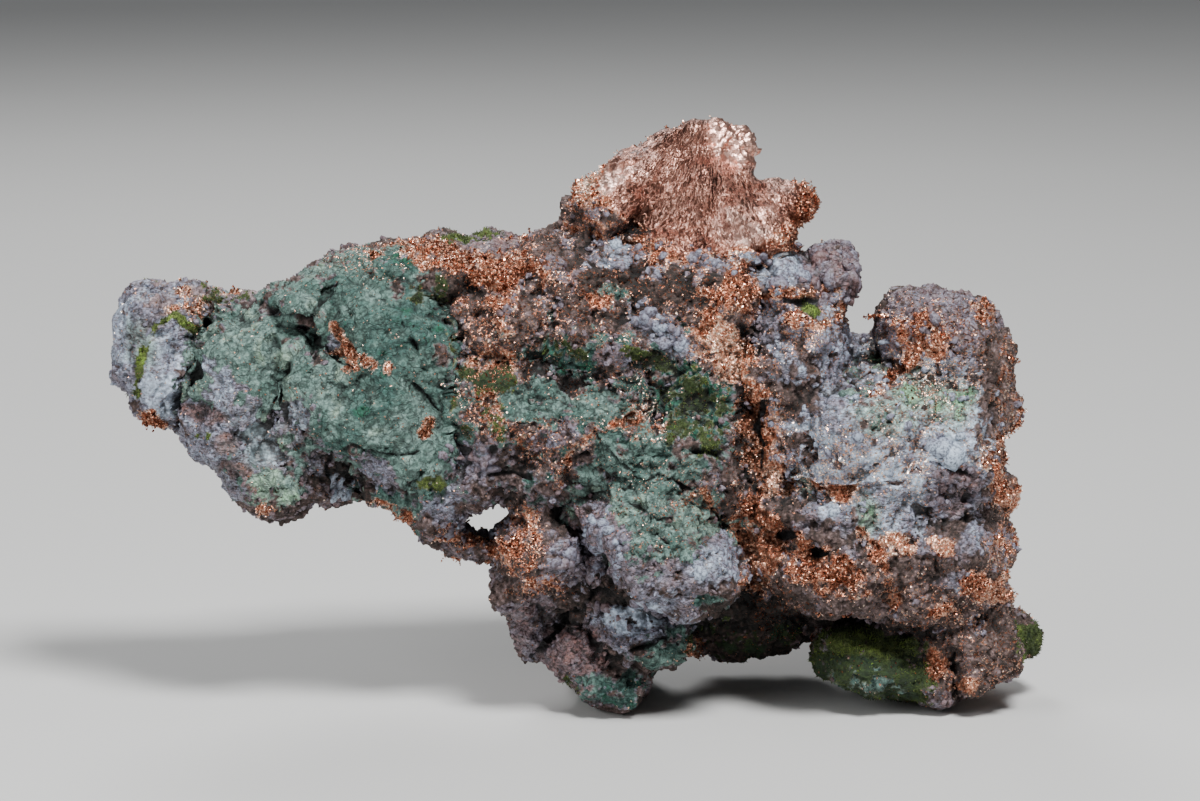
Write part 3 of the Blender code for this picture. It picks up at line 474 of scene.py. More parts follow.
def fine_skin(step, rounds):
    """The nugget's solid joined by a fine grid, and relaxed a number of times."""
    solid = bmesh.new()
    solid.from_mesh(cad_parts["nugget"].data)
    bmesh.ops.remove_doubles(solid, verts=solid.verts[:], dist=1e-6)
    mesh = bpy.data.meshes.new("skin")
    solid.to_mesh(mesh)
    solid.free()
    obj = bpy.data.objects.new("skin", mesh)
    bpy.context.scene.collection.objects.link(obj)
    grid = obj.modifiers.new("grid", "REMESH")
    grid.mode = "VOXEL"
    grid.voxel_size = step
    relax = obj.modifiers.new("relax", "SMOOTH")
    relax.factor = 0.5
    relax.iterations = rounds
    graph = bpy.context.evaluated_depsgraph_get()
    fine = bpy.data.meshes.new_from_object(obj.evaluated_get(graph))
    bpy.data.objects.remove(obj)
    return fine


def seen(points):
    """Where the eye sees each point, as (u, v). The way from the middle is taken along the eye's
    right and up, and grows by the eye's distance over the point's own distance from it."""
    way = points - LOOKED_AT
    growth = EYE_DISTANCE / (EYE_DISTANCE - way @ EYE_BACK)
    return MIDDLE_SEEN + np.stack([way @ EYE_RIGHT, way @ EYE_UP], axis=1) * growth[:, None]


def distance_to_line(places, line):
    """Each place's distance to a line of places: the least distance to any of its stretches."""
    nearest = np.full(len(places), 1e9)
    for start, end in zip(line, line[1:]):
        start = np.array(start)
        along = np.array(end) - start
        share = np.clip((places - start) @ along / (along @ along), 0.0, 1.0)
        gap = np.linalg.norm(places - start - share[:, None] * along, axis=1)
        nearest = np.minimum(nearest, gap)
    return nearest


def reach_in(places, middle, radii, turn=0):
    """How far out in a turned ellipse each place is: 0 in the middle and 1 on the rim."""
    c, s = math.cos(math.radians(turn)), math.sin(math.radians(turn))
    return np.linalg.norm((places - middle) @ np.array(((c, -s), (s, c))) / radii, axis=1)


def painted(places, ragged):
    """The share and the tone of each mineral at each point. Patches and veins are laid over each
    other in turn, each with an edge that the ragged noise wears away."""
    shares = np.zeros((len(places), len(MINERALS)), np.float32)
    tones = np.full_like(shares, 0.5)
    shares[:, MATRIX] = 1.0

    def lay(mineral, share, tone, reach):
        cover = 1 - ramped(reach, *PATCH_EDGE)
        shares[:] *= (1 - share * cover)[:, None]
        shares[:, mineral] += share * cover
        tones[:, mineral] += (tone - tones[:, mineral]) * cover

    for group in PATCHES.values():
        for mineral, share, tone, u, v, wide, high, *turn in group:
            wear = min(0.45, 0.9 / min(wide, high))
            lay(mineral, share, tone, reach_in(places, (u, v), (wide, high), *turn) + ragged * wear)
    for mineral, share, tone, half_width, *line in VEINS:
        lay(mineral, share, tone, distance_to_line(places, line) / half_width + 0.5 * ragged)
    return shares, tones


def stained(places, ragged):
    """How green the quartz is at each point, from 0 to 1."""
    stain = np.zeros(len(places))
    for strength, u, v, wide, high, *turn in STAINS:
        reach = reach_in(places, (u, v), (wide, high), *turn) + ragged * 0.35
        stain = np.maximum(stain, strength * (1 - ramped(reach, 0.4, 1.3)))
    return stain


def ranked(values):
    """Each value's rank among them all, from 0 to 1, so that every share of the range is met."""
    order = np.empty(len(values), np.float32)
    order[np.argsort(values)] = np.linspace(0.0, 1.0, len(values), dtype=np.float32)
    return order


def picked(shares, tones, points, size, seed):
    """One mineral for each grain: a number picks it by the shares there. The number is partly the
    grain's own and partly a noise as wide as a few grains, so that like grains lie together.
    Where copper is sparse it is left to the fine dust of the finish."""
    number = cells_at(points / size, seed)[3]
    solid = shares.copy()
    solid[:, COPPER] *= ramped(shares[:, COPPER], 0.35, 0.9)
    solid /= solid.sum(axis=1, keepdims=True)
    clusters = noise(points / (size * 5), seed + 1) + 0.6 * noise(points / (size * 2.2), seed + 2)
    draw = ranked(clusters + 0.55 * share_of(number, 0))[:, None]
    mineral = (np.cumsum(solid, axis=1) < draw * 0.999).sum(axis=1).clip(0, len(MINERALS) - 1)
    return mineral, np.take_along_axis(tones, mineral[:, None], axis=1)[:, 0]


def bent(points, size, amount, seed):
    """The points moved about by noise of a size, so that straight borders become crooked."""
    moves = [noise(points / size, seed + axis) for axis in range(3)]
    return points + np.stack(moves, axis=1) * (size * amount)


def broken(points, size, seed, lean, step, seam=0.0):
    """Broken rock: cells of about a size, each a face that leans its own way and stands at its own
    level, with a seam sunk along the borders. Lean, step and seam are shares of the size."""
    nearest, second, away, number = cells_at(points / size, seed)
    way = np.stack([share_of(number, part) for part in range(3)], axis=1) - 0.5
    level = share_of(number * np.uint32(2654435761), 1) - 0.5
    sunk = 1 - ramped(second - nearest, 0.0, 0.25)
    return ((away * way).sum(axis=1) * lean + level * step - sunk * seam) * size


def relief(points, mineral, tone):
    """How far each point stands out, in mm. All rock is broken in large and middling lumps, and
    every mineral has its own grain on them: leaning crumbs in copper, lumps and chips in quartz,
    stepped and folded sheets in crust, small chips in matrix and soft lumps in moss."""
    crooked = bent(points, 1.6, 0.2, 12)
    large = 0.26 * fractal(points / 4.2, 11, 3)
    large = large + broken(crooked, 3.6, 15, lean=0.24, step=0.06, seam=0.02)
    middling = broken(crooked, 1.5, 16, lean=0.55, step=0.18, seam=0.06)
    clear = (mineral == QUARTZ) * ramped(tone, 0.7, 1.0)
    height = large * LARGE_LUMPS[mineral]
    height += middling * MIDDLING_LUMPS[mineral] * (1 - 0.5 * clear)
    for kind, grain in ((COPPER, copper_grain), (QUARTZ, quartz_grain), (CRUST, crust_grain),
                        (MATRIX, matrix_grain), (MOSS, moss_grain)):
        here = mineral == kind
        height[here] += grain(points[here], crooked[here], tone[here])
    return height


def copper_grain(points, crooked, tone):
    """Small crumbs that lean strongly, on low swells."""
    return 0.08 + broken(points, 0.55, 21, lean=1.1, step=0.5) + 0.10 * noise(points / 1.1, 22)


def quartz_grain(points, crooked, tone):
    """Lumps, highest in the middle of each cell, with chips on them; the clearest is smooth."""
    rough = 1.15 - 0.95 * ramped(tone, 0.66, 0.95)
    nearest = cells_at(crooked / 1.15, 31)[0]
    lumps = 0.5 * (0.4 - nearest ** 2) + broken(crooked, 0.7, 32, lean=0.4, step=0.15, seam=0.05)
    return rough * (lumps + 0.05 * noise(points / 0.4, 33))


def crust_grain(points, crooked, tone):
    """Slanting sheets of two sizes, with wrinkles where noise crosses zero, and pebbles on the
    right."""
    folded = crooked @ SLANT
    sheets = broken(folded, 1.7, 41, lean=0.45, step=0.10) + broken(folded, 0.8, 44, lean=0.22, step=0.06)
    wrinkles = 0.5 - np.abs(noise(folded / 0.75, 42)) * 2 - np.abs(noise(folded / 0.42, 43))
    pebbles = broken(crooked, 1.3, 45, lean=0.35, step=0.25, seam=0.22)
    return sheets + 0.06 * wrinkles + pebbles * ramped(points[:, 0], *PEBBLY)


def matrix_grain(points, crooked, tone):
    """Small chips, with fine noise on them."""
    return broken(crooked, 0.7, 51, lean=0.8, step=0.35, seam=0.08) + 0.07 * noise(points / 0.4, 52)


def moss_grain(points, crooked, tone):
    """Soft lumps of two sizes."""
    return 0.16 * noise(points / 0.8, 61) + 0.12 * noise(points / 0.4, 62)


def fan_of(places, share_of_copper):
    """The crest's fine folds fan out from above its top. How much of the bare metal each point
    is, how strong the folds are, and its place across and along them, in folds and lengths."""
    way = places - FAN_TOP
    across = np.arctan2(way[:, 0], -way[:, 1]) * FAN_FOLDS
    along = np.linalg.norm(way, axis=1) / FAN_LENGTH
    inside = 1 - ramped(reach_in(places, *CREST), 0.85, 1.05)
    inside = inside * ramped(share_of_copper, 0.7, 0.9)
    strength = inside * ramped(reach_in(places, *CREST_TOP), 0.8, 1.1)
    left_end = 1 - ramped(reach_in(places, *CREST_LEFT), 0.8, 1.1)
    return inside, strength * (1 - 0.7 * left_end), across, along


def cracked(points, places, facing):
    """How deep the cracks cut each point, and how much of a crack each point is. Noise bends the
    cracks at two sizes and makes them wider and narrower."""
    depth_at = np.zeros(len(places))
    share = np.zeros(len(places))
    bend = [noise(points / 2.6, 81 + i) * 0.7 + noise(points / 0.9, 83 + i) * 0.2 for i in range(2)]
    crooked = places + np.stack(bend, axis=1)
    width = np.clip(0.55 + 0.8 * noise(points / 2.2, 85), 0.2, 1.0)
    on_front = ramped(facing, 0.05, 0.3)
    for half_width, depth, *line in CRACKS:
        gap = distance_to_line(crooked, line) / (half_width * width)
        inside = (1 - ramped(gap, 0.1, 1.2)) * on_front
        depth_at = np.maximum(depth_at, 0.8 * depth * inside * np.sqrt(width))
        share = np.maximum(share, inside)
    return depth_at, share


def filled(points, normals, mineral):
    """How much of each hollow the mineral fills: a share of the way to its surroundings' middle."""
    hollow = ((surroundings(points, FILLED_REACH) - points) * normals).sum(axis=1)
    return np.maximum(hollow, 0) * FILLING[mineral]


def swollen(places, facing):
    """How much fuller the skin is: most on the swellings' lines, and less away from them."""
    height = np.zeros(len(places))
    for half_width, rise, *line in SWELLINGS:
        gap = distance_to_line(places, line)
        height = np.maximum(height, rise * (1 - ramped(gap, 0.0, half_width)))
    return height * ramped(facing, -0.5, 0.0)


def surroundings(points, reach):
    """The middle of the skin around each point, weighed by a bell curve as wide as reach. Points
    are counted and summed in cubes, the sums are blurred along each axis in turn, and each point
    reads them between the eight cubes nearest to it."""
    cube = reach * CUBE_SHARE
    margin = BELL_END * reach
    corner = points.min(axis=0) - margin
    counts = tuple(((points.max(axis=0) + margin - corner) / cube).astype(int) + 2)
    home = np.floor((points - corner) / cube + 0.5).astype(int)
    flat = np.ravel_multi_index(home.T, counts)
    shifts = range(-BELL_END, BELL_END + 1)
    bell = [math.exp(-0.5 * (shift * cube / reach) ** 2) for shift in shifts]
    sums = []
    for weight in (np.ones(len(points)), *points.T):
        block = np.bincount(flat, weight, math.prod(counts)).reshape(counts).astype(np.float32)
        for axis in range(3):
            block = sum(share * np.roll(block, shift, axis) for share, shift in zip(bell, shifts))
        sums.append(block.ravel())
    low = np.floor((points - corner) / cube).astype(int)
    within = (points - corner) / cube - low
    read = np.zeros((4, len(points)))
    for step in product((0, 1), repeat=3):
        weight = np.where(step, within, 1 - within).prod(axis=1)
        cubes = np.ravel_multi_index((low + step).T, counts)
        read += np.stack([block[cubes] for block in sums]) * weight
    return (read[1:] / read[0]).T


def hollows(points, normals, reach):
    """How hollow the skin is at each point, as its rank from 0 to 1 among all of them: how far
    the middle of its surroundings stands out from it."""
    return ranked(((surroundings(points, reach) - points) * normals).sum(axis=1))


def put_attribute(mesh, name, values):
    """Gives each of a mesh's points a number under a name."""
    attribute = mesh.attributes.new(name, "FLOAT", "POINT")
    attribute.data.foreach_set("value", values.astype(np.float32))


def minerals_of(points, places, facing):
    """Each point's mineral and tone, the share of copper around it, and how green its quartz is.
    Away from the front the places wander, so that patches aren't drawn out along the view."""
    ragged = fractal(points / 2.6, 1, 4) * 1.3
    on_front = ramped(facing + 0.15 * ragged, -0.25, 0.1)
    wander = np.stack([noise(points / 9.0, 5), noise(points / 9.0, 6)], axis=1)
    places = places + wander * WANDER * (1 - on_front)[:, None]
    shares, tones = painted(places, ragged)
    mineral, tone = picked(shares, tones, points, GRAIN_SIZE, 3)
    uneven = 0.15 * fractal(points / 1.8, 8, 2) + 0.14 * noise(points / 4.5, 9)
    tone = tone + uneven * np.where(mineral == CRUST, 1.7, 1.0)
    return mineral, tone, shares[:, COPPER], stained(places, ragged)


def skin_mesh(step):
    """The whole skin with its relief, and its minerals as attributes of its points. Each point
    moves outward by its relief, less its crack, plus its swelling and filling. Underneath it moves
    less the nearer it is to the floor, and nothing goes below the floor."""
    mesh = fine_skin(step, RELAX_ROUNDS)
    points, normals = points_of(mesh), normals_of(mesh)
    facing = normals @ EYE_BACK.astype(np.float32)
    places = seen(points)
    mineral, tone, copper_share, stain = minerals_of(points, places, facing)
    fan, rippled, across, along = fan_of(places, copper_share)
    crack_depth, crack = cracked(points, places, facing)
    height = relief(points, mineral, tone) * (1 - 0.8 * rippled) - crack_depth
    height += swollen(places, facing) + filled(points, normals, mineral)
    height = np.where(normals[:, 2] < -0.3, height * ramped(points[:, 2], 0.0, 1.2), height)
    shaped = points + normals * height[:, None]
    shaped[:, 2] = np.maximum(shaped[:, 2], 0.0)
    put_points(mesh, shaped)
    normals = normals_of(mesh)
    values = {
        **{MINERALS[kind]: mineral == kind for kind in (QUARTZ, CRUST, COPPER, MOSS)},
        "copper_share": copper_share,
        "stain": stain,
        "tone": np.clip(tone, 0.0, 1.0),
        **{name: hollows(shaped, normals, reach) for name, reach in HOLLOWS.items()},
        "crack": crack, "fan": fan, "rippled": rippled, "across": across, "along": along,
    }
    for name, numbers in values.items():
        put_attribute(mesh, name, numbers)
    outward = mesh.attributes.new("outward", "FLOAT_VECTOR", "POINT")
    outward.data.foreach_set("vector", normals.ravel())
    return mesh


def halves(mesh, place, direction):
    """The two parts of a closed mesh, before a plane and beyond it, each closed by a flat lid."""
    return [one_side(mesh, place, Vector(direction) * side) for side in (1, -1)]


def one_side(mesh, place, direction):
    """The part of a closed mesh that lies before a plane, closed by a flat lid."""
    solid = bmesh.new()
    solid.from_mesh(mesh)
    everything = solid.verts[:] + solid.edges[:] + solid.faces[:]
    bmesh.ops.bisect_plane(solid, geom=everything, dist=1e-7, plane_co=Vector(place) * MM,
                           plane_no=direction, clear_outer=True)
    rims = [edge for edge in solid.edges if edge.is_boundary]
    lids = bmesh.ops.edgeloop_fill(solid, edges=rims)["faces"]
    bmesh.ops.triangulate(solid, faces=lids)
    near = bpy.data.meshes.new("side")
    solid.to_mesh(near)
    solid.free()
    return near


def keep_shading(mesh):
    """Shades a cut part by the whole's outward directions, which its points carry."""
    outward = np.empty(len(mesh.vertices) * 3, np.float32)
    mesh.attributes["outward"].data.foreach_get("vector", outward)
    outward = outward.reshape(-1, 3)
    outward /= np.linalg.norm(outward, axis=1, keepdims=True)
    mesh.normals_split_custom_set_from_vertices(outward.tolist())


# ---------------------------------------------------------------- shader tools


class Value:
    """A number or colour in a node tree. Sums and products of values add their Math nodes."""

    def __init__(self, finish, socket):
        self.finish = finish
        self.socket = socket

    def __add__(self, other):
        return self.finish.math("ADD", self, other)

    __radd__ = __add__

    def __sub__(self, other):
        return self.finish.math("SUBTRACT", self, other)

    def __rsub__(self, other):
        return self.finish.math("SUBTRACT", other, self)

    def __mul__(self, other):
        return self.finish.math("MULTIPLY", self, other)

    __rmul__ = __mul__


class Finish:
    """A material with one Principled shader, and the ways to add nodes in front of it."""

    def __init__(self, name, roughness=0.6):
        self.material = bpy.data.materials.new(name)
        self.material.use_nodes = True
        self.tree = self.material.node_tree
        self.shader = self.tree.nodes["Principled BSDF"]
        self.shader.inputs["Roughness"].default_value = roughness

    def add(self, kind, settings, inputs, output=0):
        """A node of a kind, with its settings made first and then its sockets' values or links."""
        node = self.tree.nodes.new(kind)
        for name, value in settings.items():
            if name == "stops":
                ramp = node.color_ramp
                while len(ramp.elements) < len(value):
                    ramp.elements.new(1.0)
                for element, (position, colour) in zip(ramp.elements, value):
                    element.position = position
                    element.color = (*colour, 1.0)
            else:
                setattr(node, name, value)
        for name, value in inputs.items():
            if isinstance(value, Value):
                self.tree.links.new(value.socket, node.inputs[name])
            else:
                node.inputs[name].default_value = value
        return Value(self, node.outputs[output])

    def math(self, operation, *values):
        """A Math node on values and numbers."""
        return self.add("ShaderNodeMath", {"operation": operation}, dict(enumerate(values)))

    def limited(self, value):
        """The value kept between 0 and 1."""
        return self.add("ShaderNodeClamp", {}, {"Value": value})

    def between(self, value, start, end, low=0.0, high=1.0):
        """low at start, high at end, with a smooth curve between them."""
        return self.add("ShaderNodeMapRange", {"interpolation_type": "SMOOTHSTEP"},
                        {"Value": value, "From Min": start, "From Max": end,
                         "To Min": low, "To Max": high})

    def place(self):
        """The place on the nugget."""
        return self.add("ShaderNodeTexCoord", {}, {}, "Object")

    def attribute(self, name):
        """A number that the mesh's points carry under a name."""
        return self.add("ShaderNodeAttribute", {"attribute_name": name}, {}, "Fac")

    def noise(self, size, detail=2.0, roughness=0.55, place=None):
        """Noise whose lumps are about size in mm, from 0 to 1."""
        return self.add("ShaderNodeTexNoise", {}, {"Vector": place or self.place(),
                                                   "Scale": 1 / (size * MM), "Detail": detail,
                                                   "Roughness": roughness})

    def slanting(self):
        """The place, turned and squeezed so that a pattern on it is drawn out along a slant."""
        return self.add("ShaderNodeMapping", {}, {"Vector": self.place(), "Rotation": (0.0, 0.7, 0.3),
                                                  "Scale": (1.0, 1.0, 2.4)})

    def cells(self, size):
        """Cells of about a size in mm: three random numbers for each, as a colour."""
        return self.add("ShaderNodeTexVoronoi", {}, {"Vector": self.place(), "Scale": 1 / (size * MM)},
                        "Color")

    def veins(self, size, width):
        """1 on crooked lines about size apart in mm, where noise crosses its middle, else 0."""
        off = self.math("ABSOLUTE", self.noise(size, detail=1.5) - 0.5)
        return self.between(off, 0.0, width, low=1.0, high=0.0)

    def part(self, colour, index):
        """One of a colour's three numbers."""
        return self.add("ShaderNodeSeparateColor", {}, {0: colour}, index)

    def leaning(self, normal, cells, amount):
        """A normal that leans another way in each cell."""
        way = self.add("ShaderNodeVectorMath", {"operation": "SUBTRACT"}, {0: cells, 1: (0.5, 0.5, 0.5)})
        way = self.add("ShaderNodeVectorMath", {"operation": "SCALE"}, {0: way, "Scale": amount})
        total = self.add("ShaderNodeVectorMath", {"operation": "ADD"}, {0: normal, 1: way})
        return self.add("ShaderNodeVectorMath", {"operation": "NORMALIZE"}, {0: total})

    def colours(self, value, stops):
        """The colour that a value picks from stops, each a position and a colour."""
        return self.add("ShaderNodeValToRGB", {"stops": stops}, {"Fac": value}, "Color")

    def mixed(self, share, first, second, blend="MIX"):
        """The first colour with a share of the second mixed in, or blended in another way."""
        sockets = {0: share, 6: first, 7: second}
        for index in (6, 7):
            if not isinstance(sockets[index], Value):
                sockets[index] = (*sockets[index], 1.0)
        return self.add("ShaderNodeMix", {"data_type": "RGBA", "blend_type": blend}, sockets, 2)

    def shaded(self, colour, brightness):
        """A colour made darker or lighter by a factor."""
        grey = self.add("ShaderNodeCombineColor", {}, {0: brightness, 1: brightness, 2: brightness})
        return self.mixed(1.0, colour, grey, "MULTIPLY")

    def bump(self, height, distance):
        """A normal bent by a height of 0 to 1 that stands for distance in mm."""
        return self.add("ShaderNodeBump", {}, {"Height": height, "Distance": distance * MM,
                                               "Strength": 1.0})

    def give(self, **inputs):
        """Links or sets the shader's own sockets."""
        for name, value in inputs.items():
            socket = self.shader.inputs[name.replace("_", " ")]
            if isinstance(value, Value):
                self.tree.links.new(value.socket, socket)
            else:
                socket.default_value = value
        return self.material


# The colours of the stains and, for each mineral and the crest's metal, those that its tone picks.
STAIN_COLOUR = (0.72, 1.0, 0.62)
QUARTZ_TONES = [(0.0, (0.20, 0.10, 0.09)), (0.3, (0.165, 0.12, 0.135)), (0.6, (0.19, 0.19, 0.25)),
                (0.8, (0.28, 0.325, 0.41)), (1.0, (0.42, 0.50, 0.61))]
CRUST_TONES = [(0.0, (0.25, 0.45, 0.27)), (0.2, (0.22, 0.31, 0.24)), (0.4, (0.145, 0.225, 0.20)),
               (0.65, (0.078, 0.14, 0.118)), (0.85, (0.036, 0.09, 0.078)), (1.0, (0.014, 0.088, 0.05))]
COPPER_TONES = [(0.0, (0.11, 0.035, 0.02)), (0.35, (0.40, 0.15, 0.085)), (0.6, (0.78, 0.41, 0.27)),
                (1.0, (1.0, 0.74, 0.60))]
CREST_TONES = [(0.0, (0.13, 0.06, 0.05)), (0.35, (0.43, 0.20, 0.145)), (0.6, (0.77, 0.44, 0.35)),
               (1.0, (1.0, 0.66, 0.56))]
MOSS_TONES = [(0.0, (0.006, 0.020, 0.007)), (0.3, (0.022, 0.038, 0.008)), (0.55, (0.05, 0.07, 0.016)),
              (0.8, (0.13, 0.18, 0.035)), (1.0, (0.19, 0.33, 0.035))]
MATRIX_TONES = [(0.0, (0.012, 0.009, 0.007)), (0.3, (0.055, 0.033, 0.027)), (0.55, (0.14, 0.095, 0.09)),
                (0.8, (0.24, 0.18, 0.19)), (1.0, (0.38, 0.32, 0.335))]


def rock_colour(finish, tone, mottle, crust, quartz, lines, specks):
    """Rubble, crust with thin dark lines, moss, and quartz that is clean between its specks."""
    rubble = finish.limited(tone - quartz * 0.45 + (finish.noise(0.5) - 0.5) * 1.2)
    matrix = finish.colours(rubble, MATRIX_TONES)
    colour = finish.mixed(crust, matrix, finish.colours(tone, CRUST_TONES))
    colour = finish.mixed(finish.attribute("moss"), colour, finish.colours(tone, MOSS_TONES))
    colour = finish.shaded(colour, 1 - lines * 0.55)
    clean = finish.colours(finish.limited(tone + (mottle - 0.5) * 0.7), QUARTZ_TONES)
    clean = finish.mixed(finish.attribute("stain"), clean, STAIN_COLOUR, "MULTIPLY")
    return finish.mixed(quartz * (1 - specks * 0.8), colour, clean)


def copper_dust(finish, luck, quartz, near, specks):
    """1 on cells of copper dust. They are many where copper is near, in patches, and more in the
    hollows and specks of quartz."""
    patchy = finish.between(finish.noise(0.8), 0.35, 0.65, low=0.12, high=0.95)
    spread = finish.attribute("copper_share") * (patchy + quartz * (near * 0.9 + specks * 1.6))
    return finish.math("GREATER_THAN", luck + spread, 0.985)


def crest_folds(finish, mottle):
    """1 on thin folds and 0 between them: noise drawn out along the fan, where it is in its middle."""
    across = finish.attribute("across") + (mottle - 0.5) * 3.5
    waves = finish.add("ShaderNodeCombineXYZ", {}, {0: across, 1: finish.attribute("along"), 2: 0.0})
    ripple = finish.add("ShaderNodeTexNoise", {}, {"Vector": waves, "Scale": 1.0, "Detail": 2.0,
                                                   "Distortion": 0.15})
    return finish.between(finish.math("ABSOLUTE", ripple - 0.5), 0.01, 0.11, low=1.0, high=0.0)


def metal_colour(finish, tone, loose, fan, trough_shade):
    """Copper by its tone, lighter in loose dust, pinker on the crest, and darker in its troughs as painted
    shade.
    """
    tone = finish.limited(tone - trough_shade * 0.22 + loose * 0.22)
    metal = finish.mixed(fan, finish.colours(tone, COPPER_TONES), finish.colours(tone, CREST_TONES))
    return finish.shaded(metal, 1 - trough_shade * 0.60)


def skin_normal(finish, speckle, cells, copper, clear, lines, fan, folds):
    """Bumps of rock under cells that lean every way, most in copper; and the crest's folds."""
    lumps = finish.part(finish.cells(LUMP_SIZE), 2)
    sheets = finish.noise(0.50, detail=3.0, roughness=0.6, place=finish.slanting())
    height = (speckle * 0.55 + lumps * 0.12 + sheets * 0.8) * (1 - clear * 0.55) - lines * 0.4
    plain = finish.bump(height, ROCK_BUMP)
    glinting = finish.leaning(plain, cells, copper * 1.5 + 0.3 - clear * 0.12)
    waved = finish.bump(folds * 0.7 + speckle * 0.3, FOLD_BUMP)
    folded = finish.leaning(waved, cells, 0.28)
    return finish.add("ShaderNodeMix", {"data_type": "VECTOR"}, {0: fan, 4: glinting, 5: folded}, 1)


def skin_finish():
    """All the minerals in one material. The attributes say which mineral and which tone of it a
    point has. Fine noise varies the tone, hollows and cracks are darkened as painted shade, and
    small flat cells that lean every way make copper and quartz glint."""
    finish = Finish("copper_quartz_and_green_crust")
    speckle = finish.noise(0.30, detail=3.0)
    mottle = finish.noise(1.1, detail=4.0, roughness=0.65)
    names = ("tone", "crack", "crust", "quartz", "copper", "fan", "rippled")
    plain_tone, crack, crust, quartz, grains, fan, rippled = map(finish.attribute, names)
    tone = finish.limited(plain_tone + (mottle - 0.5) * 0.5 + (speckle - 0.5) * 0.4)
    near = finish.between(finish.attribute("hollow_near"), 0.45, 1.0)
    far = finish.between(finish.attribute("hollow_far"), 0.55, 1.0)
    wide = finish.between(finish.attribute("hollow_wide"), 0.70, 1.0)
    lines = crust * finish.limited(finish.veins(1.5, 0.030) + finish.veins(0.65, 0.035) * 0.6)
    streaks = finish.noise(0.40, detail=3.0, roughness=0.7, place=finish.slanting())
    specks = finish.between(streaks, 0.49, 0.57) * finish.between(tone, 1.05, 0.75)
    clear = quartz * finish.between(plain_tone, 0.58, 0.82)
    # Copper is where the grains are and where there is dust, but not deep in cracks.
    cells = finish.cells(GLINT_SIZE)
    dust = copper_dust(finish, finish.part(cells, 0), quartz, near, specks)
    copper = finish.math("MAXIMUM", grains, dust)
    copper = copper * finish.between(crack, 0.3, 0.7, low=1.0, high=0.0)
    fold = crest_folds(finish, mottle)
    variety = (finish.part(cells, 1) - 0.5) * (0.9 - fan * 0.6)
    # Between the crest's folds the metal gets painted shade.
    metal = metal_colour(finish, tone + variety, copper - grains, fan, rippled * (1 - fold))
    rock = rock_colour(finish, tone, mottle, crust, quartz, lines, specks)
    fleck = finish.between(finish.noise(0.45), 0.35, 0.65, low=0.55, high=1.30)
    colour = finish.mixed(copper, finish.shaded(rock, fleck), metal)
    # Painted shade: darker in near, far and wide hollows and in cracks, a little lighter where the skin
    # stands out, with a random mottle of tone on top.
    painted_shade_and_mottle = near * (0.35 + quartz * 0.35 - crust * 0.2) + far * 0.45 + wide * 0.30
    painted_shade_and_mottle = painted_shade_and_mottle + crack * 0.7 + (mottle - 0.5) * 0.4
    painted_shade_and_mottle = painted_shade_and_mottle * (1 - copper * 0.3) * (1 - fan * 0.6) * (1 - quartz * 0.25)
    colour = finish.shaded(colour, finish.between(painted_shade_and_mottle, -0.1, 1.0, low=1.15, high=0.06))
    normal = skin_normal(finish, speckle, cells, copper, clear, lines, fan, fold * rippled)
    dull = 0.85 - quartz * 0.40 - clear * 0.10
    roughness = dull + (0.28 - dull) * copper + (speckle - 0.5) * 0.15 + fan * 0.06
    return finish.give(Base_Color=colour, Metallic=copper, Roughness=roughness, Normal=normal)


def copper_finish():
    """Bright grains of copper, from dark red to pale peach by the tone their points carry."""
    finish = Finish("bright_copper")
    broad = finish.noise(2.4, detail=3.0)
    tone = finish.attribute("tone") + (broad - 0.5) + (finish.noise(0.3) - 0.5)
    return finish.give(Base_Color=finish.colours(finish.limited(tone), COPPER_TONES), Metallic=1.0,
                       Roughness=finish.between(finish.noise(0.5), 0.3, 0.7, low=0.14, high=0.34))


def quartz_finish():
    """Crumbs and nubs of quartz, from mauve to bluish white by the tone their points carry."""
    finish = Finish("quartz_crumb", 0.42)
    speckle = finish.noise(0.3, detail=3.0, roughness=0.65)
    broad = finish.noise(1.2, detail=3.0)
    tone = finish.attribute("tone") + (broad - 0.5) * 0.7 + (speckle - 0.5) * 0.5
    colour = finish.colours(finish.limited(tone), QUARTZ_TONES)
    colour = finish.shaded(colour, finish.between(speckle, 0.38, 0.55, low=0.45, high=1.1))
    return finish.give(Base_Color=colour, Normal=finish.bump(speckle, CRUMB_BUMP))


def moss_finish():
    """Moss leaves, from dark green to bright green from place to place."""
    finish = Finish("moss", 0.9)
    tone = finish.limited(0.52 + (finish.noise(1.5, detail=3.0) - 0.5) * 2.0)
    return finish.give(Base_Color=finish.colours(tone, MOSS_TONES))


def floor_finish(colour):
    """A smooth floor whose colour varies a little in broad patches."""
    finish = Finish("pale_floor", 0.7)
    shade = finish.noise(60.0)
    return finish.give(Base_Color=finish.mixed(shade, tuple(c * 0.97 for c in colour), tuple(colour)))


# ---------------------------------------------------------------- pieces


def show(name, mesh, material):
    """Puts a finished mesh in the scene as a piece of the nugget."""
    mesh.materials.clear()
    mesh.materials.append(material)
    piece = bpy.data.objects.new(name, mesh)
    bpy.context.scene.collection.objects.link(piece)
    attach(piece, "root")
    return piece


def skin_points():
    """The points, outward directions and attributes of all the skin's parts, as whole arrays."""
    parts = [bpy.data.objects[name].data for name in SKIN_PARTS]
    points = np.concatenate([points_of(mesh) for mesh in parts])
    normals = np.concatenate([normals_of(mesh) for mesh in parts])
    values = {}
    for name in ("quartz", "copper", "copper_share", "moss", "tone", "hollow_near", "hollow_far",
                 "crack", "fan"):
        arrays = [np.empty(len(mesh.vertices), np.float32) for mesh in parts]
        for mesh, array in zip(parts, arrays):
            mesh.attributes[name].data.foreach_get("value", array)
        values[name] = np.concatenate(arrays)
    return points, normals, values


